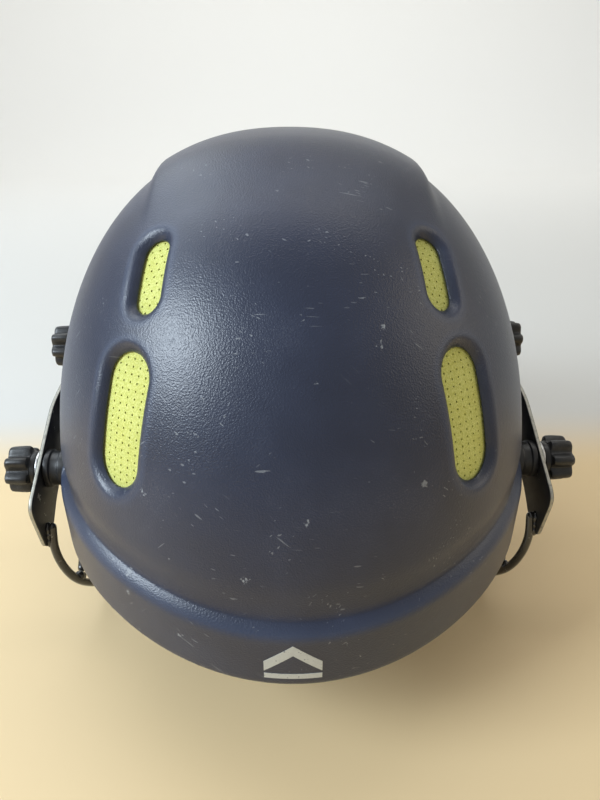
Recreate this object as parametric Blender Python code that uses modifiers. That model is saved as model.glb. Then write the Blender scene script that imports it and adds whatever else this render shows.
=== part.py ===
"""Batting helmet: a moulded shell with a padded liner, and a steel face guard held on by four hand knobs.

Metres, +Z up. +Y is the wearer's forward and +X the wearer's right. The helmet stands on the lowest wire of
its guard, on the plane Z = 0, and the helmet_frame empty centres it on the origin.
"""
from math import asin, atan2, cos, pi, radians, sin

import bmesh
import bpy
from mathutils import Matrix, Vector

GAP = 0.0003                    # clearance between neighbours that touch

# Shell
HALF_WIDTH = 0.115              # dome at the ridge, to each side
REAR_REACH = 0.122              # from the widest place back to the nape
FRONT_REACH = 0.138             # from the widest place forward to the brow
WIDEST_Y = -0.006
RIDGE_Z = 0.0805                # foot of the dome, where it is widest
DOME_HEIGHT = 0.155             # ridge to crown
DOME_PROFILE = 2.33             # superellipse exponent of the dome's upright section
CROWN_SHIFT = 0.022             # the crown leans forward by this much
RIDGE_LIFT = 0.0025             # ridge at the nape, above RIDGE_Z
SIDE_SWEEP = 0.0120             # ridge, rim and liner edge at the sides, above themselves at the nape
BROW_RISE = 0.058               # ridge over the brow, above RIDGE_Z
RIM_Z = 0.053
PEAK_RISE = 0.071               # rim at the peak's tip, above the rim at the nape
BAND_STEP = 0.002               # the band stands proud of the dome
PEAK_REACH = 0.0485             # how far the peak stands out in front of the dome
PEAK_SWEEP = 1.35               # how hollow the peak's upper face is; 1 is straight
SHELL_WALL = 0.0035
PANEL_STEP = 0.0035             # raised panel along the crown
PANEL_HALF = 0.063
PANEL_EDGE = 0.008
PANEL_FADE = (-0.045, -0.005)   # the panel rises out of the dome between these places along Y
PANEL_BROW = (0.145, 0.175)     # and between these heights at the front
SEGMENTS = 40
DOME_RINGS = 14
HEM_RINGS = 4
SKIRT_Z = -0.020                # foot of the closed volumes that shape the fixings
SLOT_SEGMENTS = 24              # facets round a slot-shaped block
BOLT_CUT = (0.075, 0.060)       # where the cutters for bolts start, from the middle plane, and their length

# Vents: the two ends of each slot as (distance from the middle plane, height), and the slot's width
VENTS = {
    "large": ((0.0625, 0.1710), (0.0718, 0.1220), 0.0220),
    "small": ((0.0530, 0.2060), (0.0570, 0.1840), 0.0122),
}
MESH_LAP = 0.004                # the vent's mesh is this much larger than its slot, all round
MESH_DEPTH = 0.0043             # outer face of the mesh below the dome's outer face
MESH_THICK = 0.0008

# Liner and pads, by depth below the dome's outer face
LINER_DEPTH = 0.0060
LINER_THICK = 0.0110
LINER_EDGE_Z = 0.067
LINER_BROW_Z = 0.140
LINER_RINGS = 8
DUCT_SHRINK = 0.002             # the liner's ducts are smaller than the vents, all round
POCKET_GAP = 0.0015             # between an insert and its pocket in the liner
VENT_CUT = 0.040                # depth of the blocks that cut a vent through the shell
DUCT_CUT = 0.060                # and through the liner
PAD_BLOCK = 0.070
PAD_DEPTH = LINER_DEPTH + LINER_THICK + 0.0008
PAD_THICK = 0.0100

# Guard fixings: bolts run along X
REAR_BOLT = (-0.026, 0.086)     # Y, Z
BOLT_SPACING = 0.080
PLATE_SLOPE = radians(27.0)
BOLT_RADIUS = 0.0030
BOLT_HOLE = 0.0034
BOLT_HEAD = (0.0075, 0.0024)    # radius, height
INSERT_RADIUS = 0.0085
INSERT_GAP = 0.00075            # between the shell's inner face and an insert
INSERT_REACH = 0.0042           # the insert stands this far in from the shell's inner face
SPACER_RADIUS = 0.0095
PIN_SPARE = 0.0080              # spacers and inserts run on by this much before the dome shapes their ends
BORE_SPARE = 0.0100             # and their bores at each end
PLATE_THICK = 0.0020
PLATE_CUT = 0.0120              # length of the cutters through a plate
PLATE_X = {"rear": 0.1237, "front": 0.1172}    # middle of the plate at each bolt
JOGGLE = (0.030, 0.062)         # the plate bends inwards between these places along its length
PLATE_END = 0.0130              # radius of the plate's front end
PLATE_NOSE = 0.0120             # middle of that round end, ahead of the front bolt
TILT = radians(3.0)             # the guard tilts this far each way about the front bolts
SLOT_HALF = BOLT_HOLE + 0.0004  # half the width of the curved slot at the rear bolt
WASHER = (0.0090, 0.0012)       # radius, thickness
KNOB_RADIUS = 0.0118
KNOB_HEIGHT = 0.0140
KNOB_LOBES = 7
KNOB_FLUTE = 0.0024
KNOB_BORE_DEPTH = 0.0110
KNOB_COLLAR = (0.72, 0.20, 0.26)    # collar's share of the radius; its end and the lobes' start, by height
KNOB_ROUND = (0.92, 0.0010)     # the lobes' outer edge is rounded from this height, by this much
BOLT_END = 0.0010               # the bolt stops this far short of the bottom of the knob's bore

# Guard wires
WIRE_RADIUS = 0.0021
FLOOR = WIRE_RADIUS             # the lowest wire's middle line
CHIN_ROUTE = [(0.1201, -0.042, 0.064), (0.1201, -0.045, 0.050), (0.1178, -0.044, 0.036),
              (0.1140, -0.039, 0.023), (0.1090, -0.028, 0.011), (0.1055, -0.012, 0.0040),
              (0.1035, 0.008, FLOOR), (0.0980, 0.046, FLOOR), (0.0820, 0.088, FLOOR),
              (0.0500, 0.122, FLOOR), (0.0000, 0.137, FLOOR)]
MOUTH_ROUTE = [(0.1140, -0.0350, 0.0254), (0.1152, -0.018, 0.0312), (0.1138, 0.026, 0.0340),
               (0.1020, 0.076, 0.0320), (0.0800, 0.110, 0.0290), (0.0450, 0.137, 0.0270),
               (0.0000, 0.149, 0.0260)]
NOSE_ROUTE = [(0.1199, 0.0060, 0.0890), (0.1193, 0.030, 0.0800), (0.1145, 0.062, 0.0680),
              (0.0980, 0.096, 0.0580), (0.0720, 0.126, 0.0530), (0.0380, 0.147, 0.0505),
              (0.0000, 0.155, 0.0500)]
EYE_ROUTE = [(0.1136, 0.0600, 0.1230), (0.1135, 0.078, 0.1110), (0.1105, 0.093, 0.0980),
             (0.0980, 0.112, 0.0860), (0.0720, 0.136, 0.0785), (0.0380, 0.153, 0.0750),
             (0.0000, 0.158, 0.0740)]
ROUTE_STEPS = 3
STRUT_X = 0.056                 # cheek struts cross the wires here, on their inner side
STRUT_GAP = 0.0007

# Chin strap, hanging from the rim and lying on the ground between the two sides
STRAP_Y = 0.014
STRAP_WIDTH = 0.019
STRAP_THICK = 0.0016
STRAP_Z = 0.0050                # middle of the webbing where it lies along the ground
LEFT_ROUTE = [(-0.1075, 0.0705), (-0.1064, 0.0520), (-0.1015, 0.0320), (-0.0895, 0.0160),
              (-0.0780, 0.0080), (-0.0643, STRAP_Z)]
RIGHT_ROUTE = [(-0.0217, STRAP_Z), (0.0200, STRAP_Z), (0.0620, STRAP_Z), (0.0780, 0.0080),
               (0.0895, 0.0160), (0.1015, 0.0320), (0.1064, 0.0520), (0.1075, 0.0705)]
ANCHOR = (0.0016, 0.0200, 0.0090)
ANCHOR_X = 0.1094
ANCHOR_Z = 0.0700
SOCKET = (0.0240, 0.0270, 0.0086)              # length along X, width, height
SOCKET_X = -0.0520
SOCKET_CAVITY = (0.0200, 0.0210, 0.0046)
MOUTH_SPARE = 0.0010            # the cavity's cutter stands out of the socket's mouth
TONGUE_ROOT = 0.0020            # the tongue runs this far into the plug's base
PLUG_BASE = (0.0170, 0.0250, 0.0070)
TONGUE = (0.0170, 0.0200, 0.0038)
SLIDER = (0.0140, 0.0250, 0.0048)
SLIDER_X = 0.0600
SLIDER_SLOT = (0.0300, 0.0200, 0.0026)
CUP = (0.0300, 0.0150, 0.0026)                 # half length, half width, thickness
CUP_X = 0.0150

SIDES = {"left": -1, "right": 1}


def clear_scene():
    for item in list(bpy.data.objects):
        bpy.data.objects.remove(item, do_unlink=True)


def collection(name):
    made = bpy.data.collections.new(name)
    bpy.context.scene.collection.children.link(made)
    return made


def material(name, colour, roughness, metallic=0.0):
    made = bpy.data.materials.new(name)
    made.use_nodes = True
    shader = made.node_tree.nodes["Principled BSDF"]
    shader.inputs["Base Color"].default_value = (*colour, 1.0)
    shader.inputs["Roughness"].default_value = roughness
    shader.inputs["Metallic"].default_value = metallic
    made.diffuse_color = (*colour, 1.0)
    return made


clear_scene()
PARTS = collection("batting_helmet")
CUTTERS = collection("cutters")
NAVY = material("navy_shell", (0.045, 0.058, 0.100), 0.42)
LIME = material("lime_mesh", (0.62, 0.70, 0.10), 0.70)
FOAM = material("liner_foam", (0.030, 0.030, 0.032), 0.90)
CLOTH = material("pad_cloth", (0.025, 0.026, 0.032), 0.95)
BLACK = material("black_plastic", (0.012, 0.012, 0.013), 0.38)
PLATE_PAINT = material("plate_paint", (0.020, 0.021, 0.023), 0.45, 0.3)
WIRE_COAT = material("wire_coat", (0.016, 0.016, 0.017), 0.22)
STEEL = material("plain_steel", (0.55, 0.55, 0.56), 0.35, 1.0)
WEBBING = material("webbing", (0.020, 0.020, 0.022), 0.90)


def empty(name, location, parent=None):
    made = bpy.data.objects.new(name, None)
    made.empty_display_size = 0.02
    made.location = location
    made.parent = parent
    PARTS.objects.link(made)
    return made


def smooth(edge_low, edge_high, value):
    part = max(0.0, min(1.0, (value - edge_low) / (edge_high - edge_low)))
    return part * part * (3.0 - 2.0 * part)


# ---------------------------------------------------------------- dome formula

def dome_at(azimuth, height):
    """Point of the plain dome at an azimuth from +X towards +Y, at a height above the ridge's level."""
    level = max(0.0, min(1.0, height / DOME_HEIGHT))
    reach = (1.0 - level ** DOME_PROFILE) ** (1.0 / DOME_PROFILE)
    length = FRONT_REACH if sin(azimuth) > 0.0 else REAR_REACH
    return Vector((HALF_WIDTH * cos(azimuth) * reach,
                   WIDEST_Y + CROWN_SHIFT * level + length * sin(azimuth) * reach,
                   RIDGE_Z + height))


def outward(azimuth):
    """Level direction that points straight out of the dome's plan outline."""
    length = FRONT_REACH if sin(azimuth) > 0.0 else REAR_REACH
    return Vector((cos(azimuth) / HALF_WIDTH, sin(azimuth) / length, 0.0)).normalized()


def with_panel(point):
    """The dome's point, lifted where the raised crown panel is."""
    share = 1.0 - smooth(PANEL_HALF - PANEL_EDGE, PANEL_HALF, abs(point.x))
    share *= smooth(*PANEL_FADE, point.y)
    share *= smooth(*PANEL_BROW, point.z)
    lift = (point - Vector((0.0, WIDEST_Y, RIDGE_Z))).normalized()
    return point + lift * PANEL_STEP * share


def side_sweep(azimuth):
    """How far ridge, rim and liner edge rise on the way from the nape to the sides."""
    return SIDE_SWEEP * (1.0 - sin(azimuth) ** 4)


def ridge_height(azimuth):
    brow = smooth(0.15, 0.90, sin(azimuth))
    return (RIDGE_LIFT + side_sweep(azimuth)) * (1.0 - brow) + BROW_RISE * brow


def climb_height(azimuth, climb, low):
    """Height for a climb from 0, at the height low, to 1, at the crown, in even steps along the dome."""
    start = asin(max(0.0, low / DOME_HEIGHT) ** (DOME_PROFILE / 2.0))
    rise = start + (pi / 2.0 - start) * climb
    below = min(0.0, low) * (1.0 - climb) ** 8
    return DOME_HEIGHT * min(1.0, sin(rise)) ** (2.0 / DOME_PROFILE) + below


def hem_at(azimuth, drop):
    """Point of the band behind and at the sides, or the peak in front: drop 0 at the ridge, 1 at the rim."""
    ridge = dome_at(azimuth, ridge_height(azimuth))
    peak = smooth(0.20, 0.85, sin(azimuth))
    rim_z = RIM_Z + side_sweep(azimuth) * (1.0 - peak) + PEAK_RISE * peak
    front = smooth(0.45, 0.92, sin(azimuth))
    reach = BAND_STEP + (PEAK_REACH - BAND_STEP) * front
    out_rear = smooth(0.0, 0.25, drop)
    out = out_rear + (drop ** 1.15 - out_rear) * front
    fall = drop + (1.0 - (1.0 - drop) ** PEAK_SWEEP - drop) * front
    point = ridge + outward(azimuth) * reach * out
    point.z = ridge.z + (rim_z - ridge.z) * fall
    return point


def shell_at(azimuth, climb):
    hem_share = HEM_RINGS / (HEM_RINGS + DOME_RINGS)
    if climb < hem_share - 1e-6:
        return hem_at(azimuth, 1.0 - climb / hem_share)
    up = (climb - hem_share) / (1.0 - hem_share)
    return with_panel(dome_at(azimuth, climb_height(azimuth, up, ridge_height(azimuth))))


def liner_at(azimuth, climb):
    """The dome without its band and peak, down to the liner's own lower edge."""
    brow = smooth(0.10, 0.80, sin(azimuth))
    low = (LINER_EDGE_Z + side_sweep(azimuth)) * (1.0 - brow) + LINER_BROW_Z * brow - RIDGE_Z
    return dome_at(azimuth, climb_height(azimuth, climb, low))


CENTRE_Y = 0.5 * (hem_at(-pi / 2.0, 1.0).y + hem_at(pi / 2.0, 1.0).y)
FRAME = empty("helmet_frame", (0.0, -CENTRE_Y, 0.0))


# ---------------------------------------------------------------- object helpers

def finish(name, bm, surface, parent=None, into=None, sharp=35.0):
    """Turns a bmesh into an object in the helmet's frame."""
    mesh = bpy.data.meshes.new(name)
    bm.to_mesh(mesh)
    bm.free()
    made = bpy.data.objects.new(name, mesh)
    (into or PARTS).objects.link(made)
    if surface:
        mesh.materials.append(surface)
    mesh.shade_smooth()
    mesh.set_sharp_from_angle(angle=radians(sharp))
    made.parent = parent or FRAME
    if into is not None:
        made.hide_render = True
        made.display_type = "WIRE"
    return made


def in_helmet_frame(piece, pivot):
    """Hangs a piece that is drawn in the helmet's frame on a pivot empty."""
    piece.parent = pivot
    piece.matrix_parent_inverse = Matrix.Translation(-pivot.location)
    return piece


def boolean(piece, other, operation="DIFFERENCE"):
    step = piece.modifiers.new(operation.lower(), "BOOLEAN")
    step.operation = operation
    step.solver = "EXACT"
    if isinstance(other, bpy.types.Collection):
        step.operand_type = "COLLECTION"
        step.collection = other
    else:
        step.object = other


def skin(piece, thickness):
    step = piece.modifiers.new("wall", "SOLIDIFY")
    step.thickness = thickness
    step.offset = -1.0
    step.use_even_offset = True


def half_sphere(rings, surface_at):
    """An upper half sphere whose points are moved onto surface_at(azimuth, climb)."""
    bm = bmesh.new()
    bmesh.ops.create_uvsphere(bm, u_segments=SEGMENTS, v_segments=2 * rings, radius=1.0)
    below = [vert for vert in bm.verts if vert.co.z < -1e-5]
    bmesh.ops.delete(bm, geom=below, context="VERTS")
    for vert in bm.verts:
        azimuth = atan2(vert.co.y, vert.co.x)
        climb = asin(max(0.0, min(1.0, vert.co.z))) / (pi / 2.0)
        vert.co = surface_at(azimuth, climb)
    bm.normal_update()
    return bm


def sink(bm, depth):
    """Moves an open surface inwards along its normals."""
    normals = [vert.normal.copy() for vert in bm.verts]
    for vert, normal in zip(bm.verts, normals):
        vert.co -= normal * depth
    bm.normal_update()


def layer(name, depth, thickness, into):
    """A closed layer that follows the dome between two depths; a cutter."""
    bm = half_sphere(LINER_RINGS, liner_at)
    sink(bm, depth)
    made = finish(name, bm, None, into=into)
    skin(made, thickness)
    return made


def solid_shell(name, depth):
    """The shell's outer face, sunk by depth and carried straight down to close a volume; a cutter."""
    bm = half_sphere(HEM_RINGS + DOME_RINGS, shell_at)
    sink(bm, depth)
    rim = [edge for edge in bm.edges if edge.is_boundary]
    skirt = bmesh.ops.extrude_edge_only(bm, edges=rim)["geom"]
    for vert in [item for item in skirt if isinstance(item, bmesh.types.BMVert)]:
        vert.co.z = SKIRT_Z
    foot = [item for item in skirt if isinstance(item, bmesh.types.BMEdge) and item.is_boundary]
    bmesh.ops.contextual_create(bm, geom=foot)
    bmesh.ops.recalc_face_normals(bm, faces=bm.faces)
    return finish(name, bm, None, into=CUTTERS)


def prism(length, width, depth):
    """A slot-shaped block about the origin: length along Y with round ends, width along X, depth along Z."""
    bm = bmesh.new()
    bmesh.ops.create_cone(bm, cap_ends=True, segments=SLOT_SEGMENTS, radius1=width / 2.0,
                          radius2=width / 2.0, depth=depth)
    shift = max(0.0, (length - width) / 2.0)
    for vert in bm.verts:
        vert.co.y += shift if vert.co.y > 1e-7 else -shift if vert.co.y < -1e-7 else 0.0
    return bm


def along_x(length, radius, segments=16):
    """A cylinder along X, from X = 0 to its length."""
    bm = bmesh.new()
    turn = Matrix.Translation((length / 2.0, 0.0, 0.0)) @ Matrix.Rotation(pi / 2.0, 4, "Y")
    bmesh.ops.create_cone(bm, cap_ends=True, segments=segments, radius1=radius, radius2=radius,
                          depth=length, matrix=turn)
    return bm


def hang(piece, x, place, side):
    """Puts a piece that is drawn along +X at a distance from the middle plane, pointing outwards."""
    piece.location = (side * x, *place)
    piece.rotation_euler = (0.0, 0.0, 0.0 if side > 0 else pi)


# ---------------------------------------------------------------- shell, vents, liner

def dome_y(x, z):
    """Y of the dome's rear half above a place (x, z)."""
    level = max(0.0, (z - RIDGE_Z) / DOME_HEIGHT)
    reach = (1.0 - level ** DOME_PROFILE) ** (1.0 / DOME_PROFILE)
    across = min(1.0, abs(x) / (HALF_WIDTH * reach))
    return WIDEST_Y + CROWN_SHIFT * level - REAR_REACH * reach * (1.0 - across ** 2) ** 0.5


def vent_frame(side, size):
    """Frame on the dome at a vent's middle: Z straight out, Y along the slot towards its upper end."""
    (top_x, top_z), (low_x, low_z), _ = VENTS[size]
    top = Vector((side * top_x, dome_y(top_x, top_z), top_z))
    low = Vector((side * low_x, dome_y(low_x, low_z), low_z))
    x, z = side * (top_x + low_x) / 2.0, (top_z + low_z) / 2.0
    middle = Vector((x, dome_y(x, z), z))
    step = 0.001
    along_side = Vector((step, dome_y(x + step, z) - middle.y, 0.0))
    upwards = Vector((0.0, dome_y(x, z + step) - middle.y, step))
    normal = along_side.cross(upwards).normalized()
    lengthwise = (top - low).normalized()
    lengthwise = (lengthwise - normal * lengthwise.dot(normal)).normalized()
    turn = Matrix((lengthwise.cross(normal), lengthwise, normal)).transposed().to_4x4()
    return Matrix.Translation(middle) @ turn, (top - low).length


def vent_block(name, side, size, grow, depth, into, surface=None):
    """A slot-shaped block through the dome at a vent."""
    frame, length = vent_frame(side, size)
    width = VENTS[size][2] + 2.0 * grow
    block = finish(name, prism(length + 2.0 * grow, width, depth), surface, into=into)
    block.matrix_local = frame
    return block


def bolt_places():
    """Each bolt's name, side, and place (Y, Z)."""
    front = (REAR_BOLT[0] + BOLT_SPACING * cos(PLATE_SLOPE), REAR_BOLT[1] + BOLT_SPACING * sin(PLATE_SLOPE))
    for side_name, side in SIDES.items():
        for end, place in (("rear", REAR_BOLT), ("front", front)):
            yield f"{end}_{side_name}", side, end, place


def make_shell():
    shell = finish("outer_shell", half_sphere(HEM_RINGS + DOME_RINGS, shell_at), NAVY)
    skin(shell, SHELL_WALL)
    cuts = collection("shell_cutters")
    for side_name, side in SIDES.items():
        for size in VENTS:
            vent_block(f"cut_vent_{size}_{side_name}", side, size, 0.0, VENT_CUT, cuts)
    for name, side, _, (y, z) in bolt_places():
        hole = finish(f"cut_bolt_{name}", along_x(BOLT_CUT[1], BOLT_HOLE, 12), None, into=cuts)
        hang(hole, BOLT_CUT[0], (y, z), side)
    boolean(shell, cuts)


def make_vent_meshes():
    mesh_layer = layer("mesh_layer", MESH_DEPTH, MESH_THICK, CUTTERS)
    for side_name, side in SIDES.items():
        for size in VENTS:
            panel = vent_block(f"vent_mesh_{size}_{side_name}", side, size, MESH_LAP, VENT_CUT, None, LIME)
            boolean(panel, mesh_layer, "INTERSECT")


def make_liner():
    bm = half_sphere(LINER_RINGS, liner_at)
    sink(bm, LINER_DEPTH)
    liner = finish("foam_liner", bm, FOAM)
    skin(liner, LINER_THICK)
    cuts = collection("liner_cutters")
    for side_name, side in SIDES.items():
        for size in VENTS:
            vent_block(f"cut_duct_{size}_{side_name}", side, size, -DUCT_SHRINK, DUCT_CUT, cuts)
    for name, side, _, (y, z) in bolt_places():
        pocket = finish(f"cut_pocket_{name}", along_x(BOLT_CUT[1], INSERT_RADIUS + POCKET_GAP), None,
                        into=cuts)
        hang(pocket, BOLT_CUT[0], (y, z), side)
    boolean(liner, cuts)


def make_pads():
    """Soft pads on the liner's inner face: each is the part of one layer inside a slot-shaped block."""
    pad_layer = layer("pad_layer", PAD_DEPTH, PAD_THICK, CUTTERS)
    upright = (pi / 2.0, -pi / 2.0, 0.0)
    sideways = (0.0, pi / 2.0, 0.0)
    pads = {
        "crown_pad": ((0.0, 0.012, 0.200), (0.0, 0.0, 0.0), 0.100, 0.066),
        "brow_pad": ((0.0, 0.110, 0.163), upright, 0.130, 0.028),
        "nape_pad": ((0.0, -0.105, 0.092), upright, 0.100, 0.036),
        "temple_pad_left": ((-0.092, -0.020, 0.096), sideways, 0.092, 0.040),
        "temple_pad_right": ((0.092, -0.020, 0.096), sideways, 0.092, 0.040),
    }
    for name, (place, turn, length, width) in pads.items():
        pad = finish(name, prism(length, width, PAD_BLOCK), CLOTH)
        pad.location = place
        pad.rotation_euler = turn
        boolean(pad, pad_layer, "INTERSECT")


# ---------------------------------------------------------------- bolts, spacers, knobs

def shell_x(y, z):
    """Distance of the dome's outer face from the middle plane at a place (Y, Z)."""
    level = max(0.0, (z - RIDGE_Z) / DOME_HEIGHT)
    reach = (1.0 - level ** DOME_PROFILE) ** (1.0 / DOME_PROFILE)
    from_middle = y - WIDEST_Y - CROWN_SHIFT * level
    length = FRONT_REACH if from_middle > 0.0 else REAR_REACH
    return HALF_WIDTH * (reach ** 2 - (from_middle / length) ** 2) ** 0.5


def bored_pin(name, side, start, end, radius, place, dome, operation):
    """A black round block along X with the bolt's bore, one end shaped to the dome."""
    pin = finish(name, along_x(end - start, radius), BLACK)
    hang(pin, start, place, side)
    bore = finish(f"bore_{name}", along_x(end - start + 2.0 * BORE_SPARE, BOLT_HOLE, 12), None, into=CUTTERS)
    hang(bore, start - BORE_SPARE, place, side)
    boolean(pin, bore)
    boolean(pin, dome, operation)


def make_fixing(name, side, end, place, outer_dome, inner_dome):
    """The parts of one guard fixing, from the inside out: bolt, insert, spacer, washer and knob."""
    wall = shell_x(*place)
    plate_in = PLATE_X[end] - PLATE_THICK / 2.0
    plate_out = PLATE_X[end] + PLATE_THICK / 2.0
    insert_start = wall - SHELL_WALL - INSERT_REACH
    bored_pin(f"spacer_{name}", side, wall - PIN_SPARE, plate_in - GAP, SPACER_RADIUS, place, outer_dome,
              "DIFFERENCE")
    bored_pin(f"insert_{name}", side, insert_start, wall + PIN_SPARE, INSERT_RADIUS, place, inner_dome,
              "INTERSECT")

    head_radius, head_height = BOLT_HEAD
    washer_radius, washer_thick = WASHER
    start = insert_start - GAP - head_height
    length = plate_out + 2.0 * GAP + washer_thick + KNOB_BORE_DEPTH - BOLT_END - start
    bolt = turned(f"bolt_{name}", [(length, 0.0), (length, BOLT_RADIUS), (head_height, BOLT_RADIUS),
                                   (head_height, head_radius), (0.0, head_radius), (0.0, 0.0)], 12)
    hang(bolt, start, place, side)

    travel = empty(f"washer_travel_{name}", (side * (plate_out + GAP), *place), FRAME)
    washer = turned(f"washer_{name}", [(washer_thick, BOLT_HOLE), (washer_thick, washer_radius),
                                       (0.0, washer_radius), (0.0, BOLT_HOLE), (washer_thick, BOLT_HOLE)],
                    20, travel)
    hang(washer, 0.0, (0.0, 0.0), side)

    spin = empty(f"knob_turn_{name}", (side * (washer_thick + GAP), 0.0, 0.0), travel)
    knob = finish(f"knob_{name}", fluted_knob(), BLACK, spin)
    hang(knob, 0.0, (0.0, 0.0), side)
    bore = finish(f"bore_knob_{name}", along_x(2.0 * KNOB_BORE_DEPTH, BOLT_HOLE, 12), None, spin, CUTTERS)
    hang(bore, -KNOB_BORE_DEPTH, (0.0, 0.0), side)
    boolean(knob, bore)


def turned(name, profile, steps, parent=None):
    """A profile of (distance along +X, radius) turned about X by a Screw modifier."""
    bm = bmesh.new()
    verts = [bm.verts.new((along, radius, 0.0)) for along, radius in profile]
    for first, second in zip(verts, verts[1:]):
        if (first.co - second.co).length > 1e-9:
            bm.edges.new((first, second))
    bmesh.ops.remove_doubles(bm, verts=bm.verts, dist=1e-6)
    made = finish(name, bm, STEEL, parent)
    step = made.modifiers.new("turn", "SCREW")
    step.axis = "X"
    step.steps = steps
    step.render_steps = steps
    step.use_merge_vertices = True
    step.merge_threshold = 0.00005
    return made


def fluted_knob():
    """A hand knob along X from X = 0: a plain collar, then lobes parted by round flutes."""
    bm = along_x(KNOB_HEIGHT, KNOB_RADIUS, KNOB_LOBES * 4)
    collar, collar_end, lobes_start = KNOB_COLLAR
    for part in (collar_end, lobes_start, KNOB_ROUND[0]):
        bmesh.ops.bisect_plane(bm, geom=bm.verts[:] + bm.edges[:] + bm.faces[:],
                               plane_co=(KNOB_HEIGHT * part, 0.0, 0.0), plane_no=(1.0, 0.0, 0.0))
    for vert in bm.verts:
        part = vert.co.x / KNOB_HEIGHT
        angle = atan2(vert.co.z, vert.co.y)
        flute = KNOB_FLUTE * (0.5 - 0.5 * cos(KNOB_LOBES * angle)) ** 1.5
        radius = KNOB_RADIUS - flute if part > (collar_end + lobes_start) / 2.0 else KNOB_RADIUS * collar
        radius -= KNOB_ROUND[1] if part > 0.99 else 0.0
        vert.co.y, vert.co.z = radius * cos(angle), radius * sin(angle)
    return bm


def make_fixings():
    outer_dome = solid_shell("outer_dome", -GAP)
    inner_dome = solid_shell("inner_dome", SHELL_WALL + INSERT_GAP)
    for name, side, end, place in bolt_places():
        make_fixing(name, side, end, place, outer_dome, inner_dome)


# ---------------------------------------------------------------- guard

def plate_point(along, across):
    """(Y, Z) of a place on a side plate: along from the rear bolt to the front one, across upwards."""
    y, z = REAR_BOLT
    return (y + along * cos(PLATE_SLOPE) - across * sin(PLATE_SLOPE),
            z + along * sin(PLATE_SLOPE) + across * cos(PLATE_SLOPE))


def plate_outline():
    """Outline of a side plate as (along, across): a round front end, and a tail that points down."""
    front = [(BOLT_SPACING + PLATE_NOSE + PLATE_END * sin(angle), PLATE_END * cos(angle))
             for angle in [pi * step / 8.0 for step in range(9)]]
    tail = [(0.0200, -0.0160), (-0.0080, -0.0185), (-0.0260, -0.0235), (-0.0315, -0.0225),
            (-0.0340, -0.0185), (-0.0285, 0.0030), (-0.0265, 0.0070), (-0.0225, 0.0088), (0.0130, 0.0105)]
    return front + tail


def slab(outline, x, thick):
    """A flat block with an outline of (Y, Z) places, centred on a distance x from the middle plane."""
    bm = bmesh.new()
    face = bm.faces.new([bm.verts.new((x - thick / 2.0, *place)) for place in outline])
    pushed = bmesh.ops.extrude_face_region(bm, geom=[face])
    moved = [item for item in pushed["geom"] if isinstance(item, bmesh.types.BMVert)]
    bmesh.ops.translate(bm, vec=(thick, 0.0, 0.0), verts=moved)
    bmesh.ops.recalc_face_normals(bm, faces=bm.faces)
    return bm


def arc_slot():
    """Outline of the curved slot, about the front bolt, that lets the rear bolt pass as the guard tilts."""
    front_y, front_z = plate_point(BOLT_SPACING, 0.0)
    middle = atan2(REAR_BOLT[1] - front_z, REAR_BOLT[0] - front_y)
    outline = []
    for end, start in ((middle + TILT, 0.0), (middle - TILT, pi)):
        y, z = front_y + BOLT_SPACING * cos(end), front_z + BOLT_SPACING * sin(end)
        turns = [end + start + pi * step / 6.0 for step in range(7)]
        outline += [(y + SLOT_HALF * cos(turn), z + SLOT_HALF * sin(turn)) for turn in turns]
    return outline


def make_plate(side_name, side, pivot):
    bm = slab([plate_point(*place) for place in plate_outline()], PLATE_X["rear"], PLATE_THICK)
    for along in JOGGLE:
        bmesh.ops.bisect_plane(bm, geom=bm.verts[:] + bm.edges[:] + bm.faces[:],
                               plane_co=(0.0, *plate_point(along, 0.0)),
                               plane_no=(0.0, cos(PLATE_SLOPE), sin(PLATE_SLOPE)))
    shift = PLATE_X["rear"] - PLATE_X["front"]
    for vert in bm.verts:
        along = ((vert.co.y - REAR_BOLT[0]) * cos(PLATE_SLOPE)
                 + (vert.co.z - REAR_BOLT[1]) * sin(PLATE_SLOPE))
        bent = max(0.0, min(1.0, (along - JOGGLE[0]) / (JOGGLE[1] - JOGGLE[0])))
        vert.co.x = side * (vert.co.x - shift * bent)
    bmesh.ops.recalc_face_normals(bm, faces=bm.faces)
    plate = in_helmet_frame(finish(f"side_plate_{side_name}", bm, PLATE_PAINT), pivot)
    slot = finish(f"cut_slot_{side_name}", slab(arc_slot(), side * PLATE_X["rear"], PLATE_CUT), None,
                  into=CUTTERS)
    hole = finish(f"cut_pivot_{side_name}", along_x(PLATE_CUT, BOLT_HOLE, 16), None, into=CUTTERS)
    hole.location = (side * PLATE_X["front"] - PLATE_CUT / 2.0, *plate_point(BOLT_SPACING, 0.0))
    for cutter in (slot, hole):
        boolean(plate, cutter)


def smooth_route(points, steps=ROUTE_STEPS):
    """Points on a smooth curve through the given ones (Catmull-Rom)."""
    ends = [points[0] * 2.0 - points[1], *points, points[-1] * 2.0 - points[-2]]
    route = []
    for before, start, end, after in zip(ends, ends[1:], ends[2:], ends[3:]):
        for step in range(steps):
            t = step / steps
            route.append(0.5 * (2.0 * start + (end - before) * t
                                + (2.0 * before - 5.0 * start + 4.0 * end - after) * t * t
                                + (3.0 * start - before - 3.0 * end + after) * t ** 3))
    return route + [points[-1]]


def both_sides(points):
    """A route given from the right-hand end to the middle plane, carried on to the left-hand end."""
    right = [Vector(point) for point in points]
    left = [Vector((-point.x, point.y, point.z)) for point in reversed(right[:-1])]
    return smooth_route(right + left)


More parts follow.
